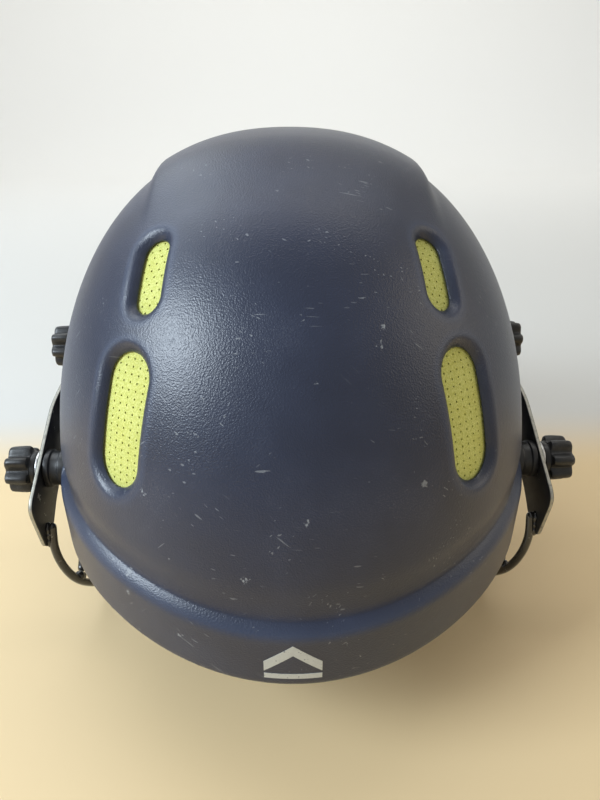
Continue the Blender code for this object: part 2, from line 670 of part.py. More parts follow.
def wire(name, route, pivot):
    curve = bpy.data.curves.new(name, "CURVE")
    curve.dimensions = "3D"
    curve.bevel_depth = WIRE_RADIUS
    curve.bevel_resolution = 2
    curve.use_fill_caps = True
    line = curve.splines.new("POLY")
    line.points.add(len(route) - 1)
    for point, place in zip(line.points, route):
        point.co = (*place, 1.0)
    curve.materials.append(WIRE_COAT)
    made = bpy.data.objects.new(name, curve)
    PARTS.objects.link(made)
    return in_helmet_frame(made, pivot)


def crossing(bar, side):
    """Where a wire's front part crosses the cheek strut's distance from the middle plane."""
    for start, end in zip(bar, bar[1:]):
        before, after = start.x * side - STRUT_X, end.x * side - STRUT_X
        if before * after <= 0.0 and start.y > 0.020:
            return start.lerp(end, before / (before - after))
    raise ValueError("this wire never reaches the strut")


def strut_route(bars, side):
    """A cheek strut's route: inside each wire in turn, and a little past the first."""
    route = []
    for bar in bars:
        place = crossing(bar, side)
        inwards = Vector((-place.x, -place.y, 0.0)).normalized()
        route.append(place + inwards * (2.0 * WIRE_RADIUS + STRUT_GAP))
    route[0].z += WIRE_RADIUS
    return smooth_route(route)


def make_guard():
    pivot = empty("guard_tilt", (0.0, *plate_point(BOLT_SPACING, 0.0)), FRAME)
    for side_name, side in SIDES.items():
        make_plate(side_name, side, pivot)
    bars = {"eye_bar": EYE_ROUTE, "nose_bar": NOSE_ROUTE, "mouth_bar": MOUTH_ROUTE, "chin_bar": CHIN_ROUTE}
    routes = {name: both_sides(points) for name, points in bars.items()}
    for name, route in routes.items():
        wire(name, route, pivot)
    for side_name, side in SIDES.items():
        wire(f"cheek_strut_{side_name}", strut_route(list(routes.values()), side), pivot)


# ---------------------------------------------------------------- chin strap

def strap(name, places):
    """Webbing that follows (X, Z) places in the strap's upright plane."""
    route = smooth_route([Vector((x, STRAP_Y, z)) for x, z in places])
    bm = bmesh.new()
    bmesh.ops.create_grid(bm, x_segments=len(route) - 1, y_segments=1, size=0.5)
    for vert in bm.verts:
        place = route[round((vert.co.x + 0.5) * (len(route) - 1))]
        vert.co = (place.x, STRAP_Y + vert.co.y * STRAP_WIDTH, place.z)
    bm.normal_update()
    made = finish(name, bm, WEBBING)
    step = made.modifiers.new("thickness", "SOLIDIFY")
    step.thickness = STRAP_THICK
    step.offset = 0.0
    return made


def block(name, size, place, surface=None, into=None, parent=None, radius=0.0):
    """A box about its own middle, with rounded edges where a radius is given."""
    bm = bmesh.new()
    bmesh.ops.create_cube(bm, size=1.0, matrix=Matrix.Diagonal((*size, 1.0)))
    made = finish(name, bm, surface, parent, into)
    made.location = place
    if radius:
        step = made.modifiers.new("edges", "BEVEL")
        step.width = radius
        step.segments = 2
    return made


def make_chin_strap():
    strap("strap_left", LEFT_ROUTE)
    strap("strap_right", RIGHT_ROUTE)
    for side_name, side in SIDES.items():
        block(f"strap_anchor_{side_name}", ANCHOR, (side * ANCHOR_X, STRAP_Y, ANCHOR_Z), BLACK)

    release = empty("buckle_release", (SOCKET_X, STRAP_Y, STRAP_Z), FRAME)
    socket = block("buckle_socket", SOCKET, (0.0, 0.0, 0.0), BLACK, parent=release, radius=0.0012)
    mouth = SOCKET[0] / 2.0
    cavity = block("cavity", SOCKET_CAVITY, (mouth - SOCKET_CAVITY[0] / 2.0 + MOUTH_SPARE, 0.0, 0.0),
                   into=CUTTERS, parent=release)
    boolean(socket, cavity)

    plug_x = SOCKET_X + mouth + GAP + PLUG_BASE[0] / 2.0
    plug = block("buckle_plug", PLUG_BASE, (plug_x, STRAP_Y, STRAP_Z), BLACK, radius=0.0010)
    tongue_x = SOCKET_X + mouth + TONGUE_ROOT - TONGUE[0] / 2.0
    tongue = block("tongue", TONGUE, (tongue_x, STRAP_Y, STRAP_Z), into=CUTTERS)
    boolean(plug, tongue, "UNION")

    slider = block("strap_slider", SLIDER, (SLIDER_X, STRAP_Y, STRAP_Z), BLACK)
    slot = block("slider_slot", SLIDER_SLOT, (SLIDER_X, STRAP_Y, STRAP_Z), into=CUTTERS)
    boolean(slider, slot)

    half_length, half_width, thick = CUP
    bm = bmesh.new()
    bmesh.ops.create_cone(bm, cap_ends=True, segments=24, radius1=half_length, radius2=half_length,
                          depth=thick)
    for vert in bm.verts:
        vert.co.y *= half_width / half_length
    cup = finish("chin_cup", bm, CLOTH)
    cup.location = (CUP_X, STRAP_Y, STRAP_Z - STRAP_THICK / 2.0 - GAP - thick / 2.0)


make_shell()
make_vent_meshes()
make_liner()
make_pads()
make_fixings()
make_guard()
make_chin_strap()
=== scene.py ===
"""Looks for the batting helmet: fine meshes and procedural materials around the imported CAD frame.

Metres, +Z up, +Y the wearer's forward. Shapes are drawn in the helmet's own frame, whose Y = 0 plane lies
CENTRE_Y behind the row's, and moved once when each piece is finished.
"""

from math import asin, atan2, ceil, cos, hypot, pi, radians, sin

import bmesh
import bpy
from mathutils import Matrix, Vector, noise


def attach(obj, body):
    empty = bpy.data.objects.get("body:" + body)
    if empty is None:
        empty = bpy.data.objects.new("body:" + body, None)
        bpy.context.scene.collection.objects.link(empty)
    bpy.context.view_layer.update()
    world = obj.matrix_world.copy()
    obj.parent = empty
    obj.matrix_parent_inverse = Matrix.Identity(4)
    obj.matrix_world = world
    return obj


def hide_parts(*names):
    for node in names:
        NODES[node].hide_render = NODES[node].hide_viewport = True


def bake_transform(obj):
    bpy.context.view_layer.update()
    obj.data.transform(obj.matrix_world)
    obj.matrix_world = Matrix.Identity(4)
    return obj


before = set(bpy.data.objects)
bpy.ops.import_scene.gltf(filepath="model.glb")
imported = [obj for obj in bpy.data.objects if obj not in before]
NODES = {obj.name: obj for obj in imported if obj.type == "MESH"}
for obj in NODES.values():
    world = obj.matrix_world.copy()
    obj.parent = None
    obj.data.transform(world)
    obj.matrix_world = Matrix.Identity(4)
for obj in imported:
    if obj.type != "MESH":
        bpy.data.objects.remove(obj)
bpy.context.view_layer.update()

# ---------------------------------------------------------------- sizes shared with the CAD

HALF_WIDTH, REAR_REACH, FRONT_REACH = 0.115, 0.122, 0.138
WIDEST_Y, RIDGE_Z, DOME_HEIGHT = -0.006, 0.0805, 0.155
DOME_PROFILE, CROWN_SHIFT = 2.33, 0.022
RIDGE_LIFT, SIDE_SWEEP, BROW_RISE = 0.0025, 0.012, 0.058
RIM_Z, PEAK_RISE = 0.053, 0.071
BAND_STEP, PEAK_REACH, PEAK_SWEEP = 0.002, 0.0485, 1.35
SHELL_WALL = 0.0035
PANEL_STEP, PANEL_HALF, PANEL_EDGE = 0.0035, 0.063, 0.008
PANEL_FADE, PANEL_BROW = (-0.045, -0.005), (0.145, 0.175)
VENTS = {
    "large": ((0.0625, 0.1710), (0.0718, 0.1220), 0.0220),
    "small": ((0.0530, 0.2060), (0.0570, 0.1840), 0.0122),
}
MESH_LAP, MESH_DEPTH, MESH_THICK = 0.004, 0.0043, 0.0008
LINER_DEPTH, LINER_THICK = 0.0060, 0.0110
LINER_EDGE_Z, LINER_BROW_Z = 0.067, 0.140
DUCT_SHRINK, POCKET_RADIUS = 0.002, 0.010
REAR_BOLT, BOLT_SPACING, PLATE_SLOPE = (-0.026, 0.086), 0.080, radians(27.0)
BOLT_RADIUS, BOLT_HOLE = 0.0030, 0.0034
SPACER_RADIUS, INSERT_RADIUS = 0.0095, 0.0085
PLATE_THICK, PLATE_X, JOGGLE = 0.0020, {"rear": 0.1237, "front": 0.1172}, (0.030, 0.062)
PLATE_END, PLATE_NOSE, TILT = 0.0130, 0.0120, radians(3.0)
WASHER = (0.0090, 0.0012)
KNOB_RADIUS, KNOB_LOBES = 0.0118, 7
WIRE_RADIUS = FLOOR = 0.0021
CHIN_ROUTE = [(0.1201, -0.042, 0.064), (0.1201, -0.045, 0.050), (0.1178, -0.044, 0.036),
              (0.1140, -0.039, 0.023), (0.1090, -0.028, 0.011), (0.1055, -0.012, 0.0040),
              (0.1035, 0.008, FLOOR), (0.0980, 0.046, FLOOR), (0.0820, 0.088, FLOOR),
              (0.0500, 0.122, FLOOR), (0.0000, 0.137, FLOOR)]
MOUTH_ROUTE = [(0.1140, -0.0350, 0.0254), (0.1152, -0.018, 0.0312), (0.1138, 0.026, 0.0340),
               (0.1020, 0.076, 0.0320), (0.0800, 0.110, 0.0290), (0.0450, 0.137, 0.0270),
               (0.0000, 0.149, 0.0260)]
NOSE_ROUTE = [(0.1199, 0.0060, 0.0890), (0.1193, 0.030, 0.0800), (0.1145, 0.062, 0.0680),
              (0.0980, 0.096, 0.0580), (0.0720, 0.126, 0.0530), (0.0380, 0.147, 0.0505),
              (0.0000, 0.155, 0.0500)]
EYE_ROUTE = [(0.1136, 0.0600, 0.1230), (0.1135, 0.078, 0.1110), (0.1105, 0.093, 0.0980),
             (0.0980, 0.112, 0.0860), (0.0720, 0.136, 0.0785), (0.0380, 0.153, 0.0750),
             (0.0000, 0.158, 0.0740)]
STRUT_X, STRUT_GAP = 0.056, 0.0007
STRAP_Y, STRAP_WIDTH, STRAP_THICK, STRAP_Z = 0.014, 0.019, 0.0016, 0.0050
LEFT_ROUTE = [(-0.1075, 0.0705), (-0.1064, 0.0520), (-0.1015, 0.0320), (-0.0895, 0.0160),
              (-0.0780, 0.0080), (-0.0643, STRAP_Z)]
RIGHT_ROUTE = [(-0.0217, STRAP_Z), (0.0200, STRAP_Z), (0.0620, STRAP_Z), (0.0780, 0.0080),
               (0.0895, 0.0160), (0.1015, 0.0320), (0.1064, 0.0520), (0.1075, 0.0705)]
ANCHOR, ANCHOR_X, ANCHOR_Z = (0.0016, 0.0200, 0.0090), 0.1094, 0.0700
SOCKET, SOCKET_X = (0.0240, 0.0270, 0.0086), -0.0520
PLUG_BASE = (0.0170, 0.0250, 0.0070)
SLIDER, SLIDER_X = (0.0140, 0.0250, 0.0048), 0.0600
CUP, CUP_X = (0.0300, 0.0150, 0.0026), 0.0150
GAP = 0.0003
SIDES = {"left": -1, "right": 1}

# ---------------------------------------------------------------- sizes of the finer shapes

COLUMNS = 420                   # round the shell
DOME_ROWS, HEM_ROWS = 100, 26
# The shell's sheet stops here on the hem, behind and at the peak; its rounded rim makes up the rest
RIM_SPARE = (0.93, 0.965)
LEDGE = 0.23                    # the band's upper ledge, as a share of the hem
TUCK = 0.0021                   # groove where the dome meets the ledge
TUCK_CLIMB = 0.050
LIP = 0.0046                    # width of the lip round a vent
LIP_DROP = 0.0029               # how far it dips before the opening
LIP_CURVE = 2.4
VENT_ROUND = 0.0003             # how far the opening's rounded edge stands into the slot
VENT_ZONE = 0.0080              # the shell's grid is finer this close to a vent
SLOT_REACH = 0.030              # a vent's slot is looked for this close to its own plane
HOLE_PITCH = (0.0039, 0.0030)   # holes in the vent meshes: across, and from row to row
HOLE_RADIUS = 0.00046
WELD = 0.0019
FLUTE = 0.0031                  # depth of the knobs' flutes
EYE_SWING = -0.022              # the camera stands this far round from the middle plane
MARK_X = -0.0028                # the printed mark sits this far off the middle plane
BAND_SEAT = 0.0016              # the rear inserts reach this much further out, into the rim band
MARK_SKIN = 0.00012             # how far the mark stands off the band
CUT_REACH = 0.006               # half the length of the blocks that cut the plates' holes
BEVEL = 0.00045                 # rounding of the plates' cut edges
INSERT_REACH = 0.0042           # how far an insert stands inside the shell's wall
SPACER_SINK = 0.0030            # how far a spacer goes into it


# ---------------------------------------------------------------- dome formula, as in the CAD

def smooth(low, high, value):
    part = max(0.0, min(1.0, (value - low) / (high - low)))
    return part * part * (3.0 - 2.0 * part)


def reach_at(level):
    """Width of the dome at a level from 0 at its foot to 1 at the crown, as a share of the foot's."""
    return (1.0 - level ** DOME_PROFILE) ** (1.0 / DOME_PROFILE)


def half_length(ahead):
    return FRONT_REACH if ahead > 0.0 else REAR_REACH


def dome_at(azimuth, height):
    """Point of the plain dome at an azimuth from +X towards +Y, at a height above the ridge's level."""
    level = max(0.0, min(1.0, height / DOME_HEIGHT))
    reach = reach_at(level)
    return Vector((HALF_WIDTH * cos(azimuth) * reach,
                   WIDEST_Y + CROWN_SHIFT * level + half_length(sin(azimuth)) * sin(azimuth) * reach,
                   RIDGE_Z + height))


def outward(azimuth):
    """Level direction straight out of the dome's foot."""
    return Vector((cos(azimuth) / HALF_WIDTH, sin(azimuth) / half_length(sin(azimuth)), 0.0)).normalized()


def with_panel(point):
    """The dome's point, lifted where the raised crown panel is."""
    share = 1.0 - smooth(PANEL_HALF - PANEL_EDGE, PANEL_HALF, abs(point.x))
    share *= smooth(*PANEL_FADE, point.y) * smooth(*PANEL_BROW, point.z)
    lift = (point - Vector((0.0, WIDEST_Y, RIDGE_Z))).normalized()
    return point + lift * PANEL_STEP * share


def side_sweep(azimuth):
    """How far ridge, rim and liner edge rise on the way from the nape to the sides."""
    return SIDE_SWEEP * (1.0 - sin(azimuth) ** 4)


def ridge_height(azimuth):
    brow = smooth(0.15, 0.90, sin(azimuth))
    return (RIDGE_LIFT + side_sweep(azimuth)) * (1.0 - brow) + BROW_RISE * brow


def climb_height(climb, low):
    """Height on the way from a lower edge (climb 0) to the crown (climb 1), in even steps along the curve."""
    start = asin(max(0.0, low / DOME_HEIGHT) ** (DOME_PROFILE / 2.0))
    rise = start + (pi / 2.0 - start) * climb
    below = min(0.0, low) * (1.0 - climb) ** 8
    return DOME_HEIGHT * min(1.0, sin(rise)) ** (2.0 / DOME_PROFILE) + below


def peak_share(azimuth):
    """0 where the hem is the rim band, 1 where it is the peak."""
    return smooth(0.45, 0.92, sin(azimuth))


def hem_at(azimuth, drop):
    """Point of the rim band or the peak: drop 0 at the ridge, 1 at the rim."""
    front = peak_share(azimuth)
    ridge = dome_at(azimuth, ridge_height(azimuth))
    peak = smooth(0.20, 0.85, sin(azimuth))
    rim_z = RIM_Z + side_sweep(azimuth) * (1.0 - peak) + PEAK_RISE * peak
    reach = BAND_STEP + (PEAK_REACH - BAND_STEP) * front
    out_rear = 1.0 - max(0.0, 1.0 - drop / LEDGE) ** 2
    out = out_rear + (drop ** 1.15 - out_rear) * front
    fall = drop + (1.0 - (1.0 - drop) ** PEAK_SWEEP - drop) * front
    in_groove = TUCK * (1.0 - out_rear) * (1.0 - front)
    point = ridge + outward(azimuth) * (reach * out - in_groove)
    point.z = ridge.z + (rim_z - ridge.z) * fall
    return point


def dome_row(azimuth, climb):
    point = with_panel(dome_at(azimuth, climb_height(climb, ridge_height(azimuth))))
    groove = TUCK * (1.0 - smooth(0.0, TUCK_CLIMB, climb)) * (1.0 - peak_share(azimuth))
    return point - outward(azimuth) * groove


def liner_at(azimuth, climb):
    brow = smooth(0.10, 0.80, sin(azimuth))
    low = (LINER_EDGE_Z + side_sweep(azimuth)) * (1.0 - brow) + LINER_BROW_Z * brow - RIDGE_Z
    return dome_at(azimuth, climb_height(climb, low))


def dome_y(x, z):
    """Y of the dome's rear half above a place (x, z)."""
    level = max(0.0, (z - RIDGE_Z) / DOME_HEIGHT)
    reach = reach_at(level)
    across = min(1.0, abs(x) / (HALF_WIDTH * reach))
    return WIDEST_Y + CROWN_SHIFT * level - REAR_REACH * reach * (1.0 - across ** 2) ** 0.5


def dome_normal(x, z):
    step = 0.0005
    here = dome_y(x, z)
    sideways = Vector((step, dome_y(x + step, z) - here, 0.0))
    upwards = Vector((0.0, dome_y(x, z + step) - here, step))
    return sideways.cross(upwards).normalized()


def vent_frame(side, size):
    """Frame at a vent's middle, Z straight out of the dome and Y along the slot, and the slot's length."""
    (top_x, top_z), (low_x, low_z), _ = VENTS[size]
    top = Vector((side * top_x, dome_y(top_x, top_z), top_z))
    low = Vector((side * low_x, dome_y(low_x, low_z), low_z))
    x, z = side * (top_x + low_x) / 2.0, (top_z + low_z) / 2.0
    normal = dome_normal(x, z)
    lengthwise = (top - low).normalized()
    lengthwise = (lengthwise - normal * lengthwise.dot(normal)).normalized()
    turn = Matrix((lengthwise.cross(normal), lengthwise, normal)).transposed().to_4x4()
    return Matrix.Translation((x, dome_y(x, z), z)) @ turn, (top - low).length


CENTRE_Y = 0.5 * (hem_at(-pi / 2.0, 1.0).y + hem_at(pi / 2.0, 1.0).y)
TO_ROW = Matrix.Translation((0.0, -CENTRE_Y, 0.0))
VENT_PLACES = {(side, size): vent_frame(sign, size) for side, sign in SIDES.items() for size in VENTS}
BOLTS = {"rear": REAR_BOLT, "front": (REAR_BOLT[0] + BOLT_SPACING * cos(PLATE_SLOPE),
                                      REAR_BOLT[1] + BOLT_SPACING * sin(PLATE_SLOPE))}


def slot_distance(place, size, point):
    """How far a point lies outside a vent's slot, seen along the vent's own normal; 1 if it is elsewhere."""
    matrix, length = VENT_PLACES[place, size]
    local = matrix.inverted_safe() @ point
    width = VENTS[size][2]
    run = (length - width) / 2.0
    if abs(local.z) > SLOT_REACH:
        return 1.0
    return hypot(local.x, max(0.0, abs(local.y) - run)) - width / 2.0


def vent_distance(point):
    """Distance outside the nearest vent's slot."""
    if point.y > 0.02 or abs(point.x) < 0.03 or point.z < 0.09:
        return 1.0
    side = "left" if point.x < 0.0 else "right"
    return min(slot_distance(side, size, point) for size in VENTS)


# ---------------------------------------------------------------- materials

def shader_of(name, colour, roughness, metallic=0.0, **sockets):
    """A new material, its node tree and its Principled shader."""
    made = bpy.data.materials.new(name)
    made.use_nodes = True
    tree = made.node_tree
    shader = tree.nodes["Principled BSDF"]
    shader.inputs["Base Color"].default_value = (*colour, 1.0)
    shader.inputs["Roughness"].default_value = roughness
    shader.inputs["Metallic"].default_value = metallic
    for socket, value in sockets.items():
        shader.inputs[socket.replace("_", " ")].default_value = value
    return made, tree, shader


def node(tree, kind, inputs=None, **props):
    made = tree.nodes.new("ShaderNode" + kind)
    for key, value in props.items():
        setattr(made, key, value)
    for key, value in (inputs or {}).items():
        if isinstance(value, bpy.types.NodeSocket):
            tree.links.new(value, made.inputs[key])
        else:
            made.inputs[key].default_value = value
    return made


def spot(tree, stretch=(1.0, 1.0, 1.0), turn=(0.0, 0.0, 0.0)):
    """Object coordinates in metres, turned and then stretched along the turned axes."""
    here = node(tree, "TexCoord").outputs["Object"]
    turned = node(tree, "Mapping", {"Vector": here, "Rotation": turn}).outputs[0]
    return node(tree, "Mapping", {"Vector": turned, "Scale": stretch}).outputs[0]


def speckle(where, scale, detail=2.0, roughness=0.5):
    return node(where.id_data, "TexNoise", {"Vector": where, "Scale": scale, "Detail": detail,
                                            "Roughness": roughness}).outputs[0]


def steps(value, low, high):
    """0 below low, 1 above high, smooth between."""
    return node(value.id_data, "MapRange", {"Value": value, "From Min": low, "From Max": high},
                interpolation_type="SMOOTHSTEP").outputs[0]


def math(operation, first, second=0.0):
    return node(first.id_data, "Math", {0: first, 1: second}, operation=operation).outputs[0]


def times(first, second):
    return math("MULTIPLY", first, second)


def blend(share, low, high):
    """Mix of two colours, each a tuple or a socket."""
    low, high = ((*value, 1.0) if isinstance(value, tuple) else value for value in (low, high))
    return node(share.id_data, "Mix", {0: share, 6: low, 7: high}, data_type="RGBA").outputs[2]


def span(share, low, high):
    """A number from low to high as share goes from 0 to 1."""
    return node(share.id_data, "MapRange", {"Value": share, "To Min": low, "To Max": high}).outputs[0]


def bump(shader, *layers):
    """Stacks (height, distance in metres, strength) layers on the shader's normal."""
    tree, under = shader.id_data, None
    for height, distance, strength in layers:
        made = node(tree, "Bump", {"Height": height, "Distance": distance, "Strength": strength})
        if under:
            tree.links.new(under, made.inputs["Normal"])
        under = made.outputs[0]
    tree.links.new(under, shader.inputs["Normal"])


def paint(shader, **sockets):
    for name, value in sockets.items():
        shader.id_data.links.new(value, shader.inputs[name.replace("_", " ")])


def make_shell_material():
    """Moulded navy plastic: fine leather grain, pale scuffs and nicks; rubbed edges rougher, bluer from wear
    and painted sheen.
    """
    made, tree, shader = shader_of("shell_grain", (0.018, 0.025, 0.052), 0.36, Specular_IOR_Level=0.66)
    here = spot(tree)
    cells = node(tree, "TexVoronoi", {"Vector": here, "Scale": 1700.0, "Randomness": 1.0},
                 feature="SMOOTH_F1").outputs["Distance"]
    pores = speckle(here, 2200.0, 2.0)
    cloud = speckle(here, 26.0, 4.0, 0.6)
    wear_and_sheen = node(tree, "Attribute", attribute_name="wear_and_sheen").outputs["Fac"]

    marks = None
    for scale, bound, size in ((62.0, 0.66, 0.24), (150.0, 0.81, 0.22)):
        places = node(tree, "TexVoronoi", {"Vector": here, "Scale": scale, "Randomness": 1.0})
        ragged = times(speckle(here, 900.0, 3.0), 0.42)
        near = steps(math("ADD", places.outputs["Distance"], ragged), size + 0.06, size)
        nick = times(near, steps(places.outputs["Color"], bound, bound + 0.06))
        marks = math("MAXIMUM", marks, nick) if marks else nick
    bends = node(tree, "TexNoise", {"Vector": here, "Scale": 38.0, "Detail": 1.0}).outputs["Color"]
    lines = (((0.35, 0.9, 0.25), 0.700), ((-0.45, -0.7, 0.1), 0.705), ((0.2, 1.5, 0.3), 0.705))
    for turn, bound in lines:
        bent = node(tree, "VectorMath", {0: bends, 1: (0.004, 0.004, 0.004), 2: spot(tree, turn=turn)},
                    operation="MULTIPLY_ADD").outputs[0]
        drawn = node(tree, "Mapping", {"Vector": bent, "Scale": (1.0, 1.0, 0.06)}).outputs[0]
        line = speckle(drawn, 900.0, 1.0)
        patch = steps(speckle(spot(tree, turn=turn), 48.0, 1.0), 0.56, 0.66)
        scratch = times(steps(line, bound, bound + 0.03), patch)
        marks = math("MAXIMUM", marks, times(scratch, 0.55))
    haze = times(steps(cloud, 0.50, 0.72), steps(pores, 0.50, 0.62))

    base = blend(steps(cloud, 0.3, 0.7), (0.0125, 0.0190, 0.0440), (0.0175, 0.0260, 0.0580))
    base = blend(times(haze, 0.20), base, (0.115, 0.130, 0.165))
    # Lighter blue along the vent lips and the band's ledge: partly rubbing wear, partly a painted bluish
    # sheen
    base = blend(times(wear_and_sheen, 0.30), base, (0.055, 0.085, 0.165))
    base = blend(times(marks, 0.55), base, (0.420, 0.450, 0.480))
    rough = span(cloud, 0.32, 0.40)
    rough = math("ADD", rough, times(wear_and_sheen, 0.05))
    paint(shader, Base_Color=base, Roughness=math("ADD", rough, times(marks, 0.2)))
    bump(shader, (cells, 0.00011, 1.0), (pores, 0.00005, 0.8))
    return made


def make_lime_material():
    """Bright felted sheet, a little yellowed in patches."""
    made, tree, shader = shader_of("lime_sheet", (0.60, 0.66, 0.10), 0.75, Sheen_Weight=0.15)
    here = spot(tree)
    fibres = speckle(here, 1700.0, 3.0, 0.7)
    cloud = speckle(here, 90.0, 3.0)
    base = blend(steps(fibres, 0.36, 0.62), (0.450, 0.475, 0.080), (0.660, 0.680, 0.220))
    base = blend(times(steps(cloud, 0.45, 0.75), 0.25), base, (0.500, 0.480, 0.070))
    paint(shader, Base_Color=base)
    bump(shader, (fibres, 0.00012, 0.7))
    return made


def make_foam_material():
    """Black bead foam with the outlines of its cells showing."""
    made, tree, shader = shader_of("liner_foam_look", (0.030, 0.030, 0.033), 0.88)
    here = spot(tree)
    cells = node(tree, "TexVoronoi", {"Vector": here, "Scale": 420.0}).outputs["Distance"]
    cloud = speckle(here, 40.0, 3.0)
    base = blend(steps(cells, 0.1, 0.6), (0.020, 0.020, 0.022), (0.046, 0.046, 0.050))
    base = blend(times(cloud, 0.3), base, (0.060, 0.058, 0.056))
    paint(shader, Base_Color=base, Roughness=span(cloud, 0.80, 0.95))
    bump(shader, (cells, 0.0006, 0.45), (speckle(here, 900.0), 0.0001, 0.4))
    return made


def make_cloth_material():
    """Brushed knit: rows of small loops, matt, a little faded in patches."""
    made, tree, shader = shader_of("pad_cloth_look", (0.030, 0.032, 0.040), 0.92, Sheen_Weight=0.35)
    here = spot(tree)
    across, up = (node(tree, "TexWave", {"Vector": here, "Scale": 210.0, "Distortion": 0.6},
                       bands_direction=axis).outputs[1] for axis in "XZ")
    weave = times(across, up)
    fluff = speckle(here, 1100.0, 3.0, 0.7)
    cloud = speckle(here, 55.0, 3.0)
    base = blend(weave, (0.014, 0.015, 0.019), (0.046, 0.049, 0.060))
    base = blend(times(steps(cloud, 0.4, 0.8), 0.35), base, (0.080, 0.084, 0.098))
    paint(shader, Base_Color=base, Roughness=span(fluff, 0.82, 0.98))
    bump(shader, (weave, 0.0005, 0.6), (fluff, 0.0002, 0.5))
    return made


def make_black_material():
    """Moulded nylon: faint spark texture, dusty in patches."""
    made, tree, shader = shader_of("black_nylon", (0.014, 0.014, 0.016), 0.36)
    here = spot(tree)
    fine = speckle(here, 1900.0, 2.0)
    cloud = speckle(here, 130.0, 4.0, 0.6)
    dust = times(steps(cloud, 0.50, 0.75), steps(fine, 0.42, 0.60))
    base = blend(steps(cloud, 0.3, 0.7), (0.010, 0.010, 0.011), (0.020, 0.021, 0.023))
    base = blend(times(dust, 0.35), base, (0.105, 0.105, 0.105))
    paint(shader, Base_Color=base, Roughness=span(cloud, 0.28, 0.50))
    bump(shader, (fine, 0.00006, 0.5), (cloud, 0.0002, 0.2))
    return made


def make_plate_material():
    """Black paint on sheet steel, rubbed to bright metal along the cut edges and in small chips."""
    made, tree, shader = shader_of("plate_paint_look", (0.020, 0.021, 0.023), 0.42)
    here = spot(tree)
    facing = node(tree, "SeparateXYZ", {0: node(tree, "TexCoord").outputs["Normal"]}).outputs[0]
    edge = steps(math("ABSOLUTE", facing), 0.42, 0.22)
    grit = speckle(here, 420.0, 4.0, 0.65)
    cloud = speckle(here, 70.0, 3.0)
    rubbed = times(edge, span(steps(grit, 0.30, 0.50), 0.55, 1.0))
    chips = steps(times(grit, cloud), 0.405, 0.425)
    bare = math("MAXIMUM", rubbed, chips)
    painted = blend(steps(cloud, 0.3, 0.7), (0.014, 0.015, 0.017), (0.034, 0.035, 0.038))
    metal = blend(grit, (0.300, 0.297, 0.265), (0.560, 0.550, 0.490))
    paint(shader, Base_Color=blend(bare, painted, metal), Metallic=times(bare, 0.7),
          Roughness=span(grit, 0.32, 0.52))
    bump(shader, (grit, 0.00012, 0.35), (bare, 0.00008, 0.4))
    return made


def make_wire_material():
    """Thick black coating on wire: glossy, sagging a little, chipped in places."""
    made, tree, shader = shader_of("wire_gloss", (0.016, 0.016, 0.017), 0.16, Coat_Weight=0.6,
                                   Coat_Roughness=0.12)
    here = spot(tree)
    sag = speckle(here, 210.0, 2.0)
    grit = speckle(here, 900.0, 3.0)
    chips = steps(times(grit, sag), 0.40, 0.43)
    base = blend(chips, blend(sag, (0.012, 0.012, 0.012), (0.030, 0.028, 0.025)), (0.20, 0.19, 0.17))
    paint(shader, Base_Color=base, Roughness=span(sag, 0.12, 0.30))
    bump(shader, (sag, 0.0002, 0.35))
    return made


def make_steel_material():
    """Dull zinc plate with marks from turning."""
    made, tree, shader = shader_of("zinc_steel", (0.60, 0.60, 0.61), 0.32, 1.0)
    here = spot(tree)
    turned_marks = speckle(spot(tree, (0.2, 1.0, 1.0)), 1500.0, 2.0)
    cloud = speckle(here, 160.0, 3.0)
    base = blend(cloud, (0.44, 0.44, 0.44), (0.72, 0.72, 0.70))
    paint(shader, Base_Color=base, Roughness=span(cloud, 0.24, 0.44))
    bump(shader, (turned_marks, 0.00004, 0.4))
    return made


def make_webbing_material():
    """Woven nylon: slanted ribs from the piece's own length and width, with a plain selvedge."""
    made, tree, shader = shader_of("webbing_look", (0.022, 0.022, 0.025), 0.80, Sheen_Weight=0.2)
    place = node(tree, "UVMap", uv_map="weave").outputs[0]
    slanted = node(tree, "Mapping", {"Vector": place, "Rotation": (0.0, 0.0, 0.9)}).outputs[0]
    ribs = node(tree, "TexWave", {"Vector": slanted, "Scale": 260.0, "Distortion": 0.3}).outputs[1]
    picks = node(tree, "TexWave", {"Vector": place, "Scale": 300.0}, bands_direction="X").outputs[1]
    fibre = speckle(place, 2600.0, 2.0)
    weave = times(math("ADD", ribs, times(picks, 0.5)), 0.66)
    base = blend(weave, (0.010, 0.010, 0.012), (0.050, 0.051, 0.056))
    paint(shader, Base_Color=base, Roughness=span(fibre, 0.62, 0.88))
    bump(shader, (weave, 0.00035, 0.8), (fibre, 0.00008, 0.5))
    return made


def make_mark_material():
    """Pale print, rubbed away in specks."""
    made, tree, shader = shader_of("mark_print", (0.52, 0.53, 0.50), 0.45)
    here = spot(tree)
    grit = speckle(here, 700.0, 3.0, 0.7)
    worn = steps(grit, 0.60, 0.70)
    base = blend(worn, blend(grit, (0.42, 0.43, 0.41), (0.60, 0.61, 0.58)), (0.10, 0.11, 0.14))
    paint(shader, Base_Color=base, Roughness=span(grit, 0.35, 0.60))
    bump(shader, (grit, 0.00008, 0.4))
    return made


def make_thread_material():
    """Grey twisted thread."""
    made, tree, shader = shader_of("thread", (0.16, 0.16, 0.17), 0.7)
    twist = speckle(spot(tree), 3500.0, 1.0)
    paint(shader, Base_Color=blend(twist, (0.09, 0.09, 0.10), (0.26, 0.26, 0.27)))
    bump(shader, (twist, 0.00008, 0.5))
    return made


SHELL, LIME, FOAM = make_shell_material(), make_lime_material(), make_foam_material()
CLOTH, BLACK, PLATE = make_cloth_material(), make_black_material(), make_plate_material()
WIRE, STEEL, WEBBING = make_wire_material(), make_steel_material(), make_webbing_material()
MARK, THREAD = make_mark_material(), make_thread_material()


# ---------------------------------------------------------------- mesh helpers

def shade(made, sharp):
    made.data.shade_smooth()
    made.data.set_sharp_from_angle(angle=radians(sharp))


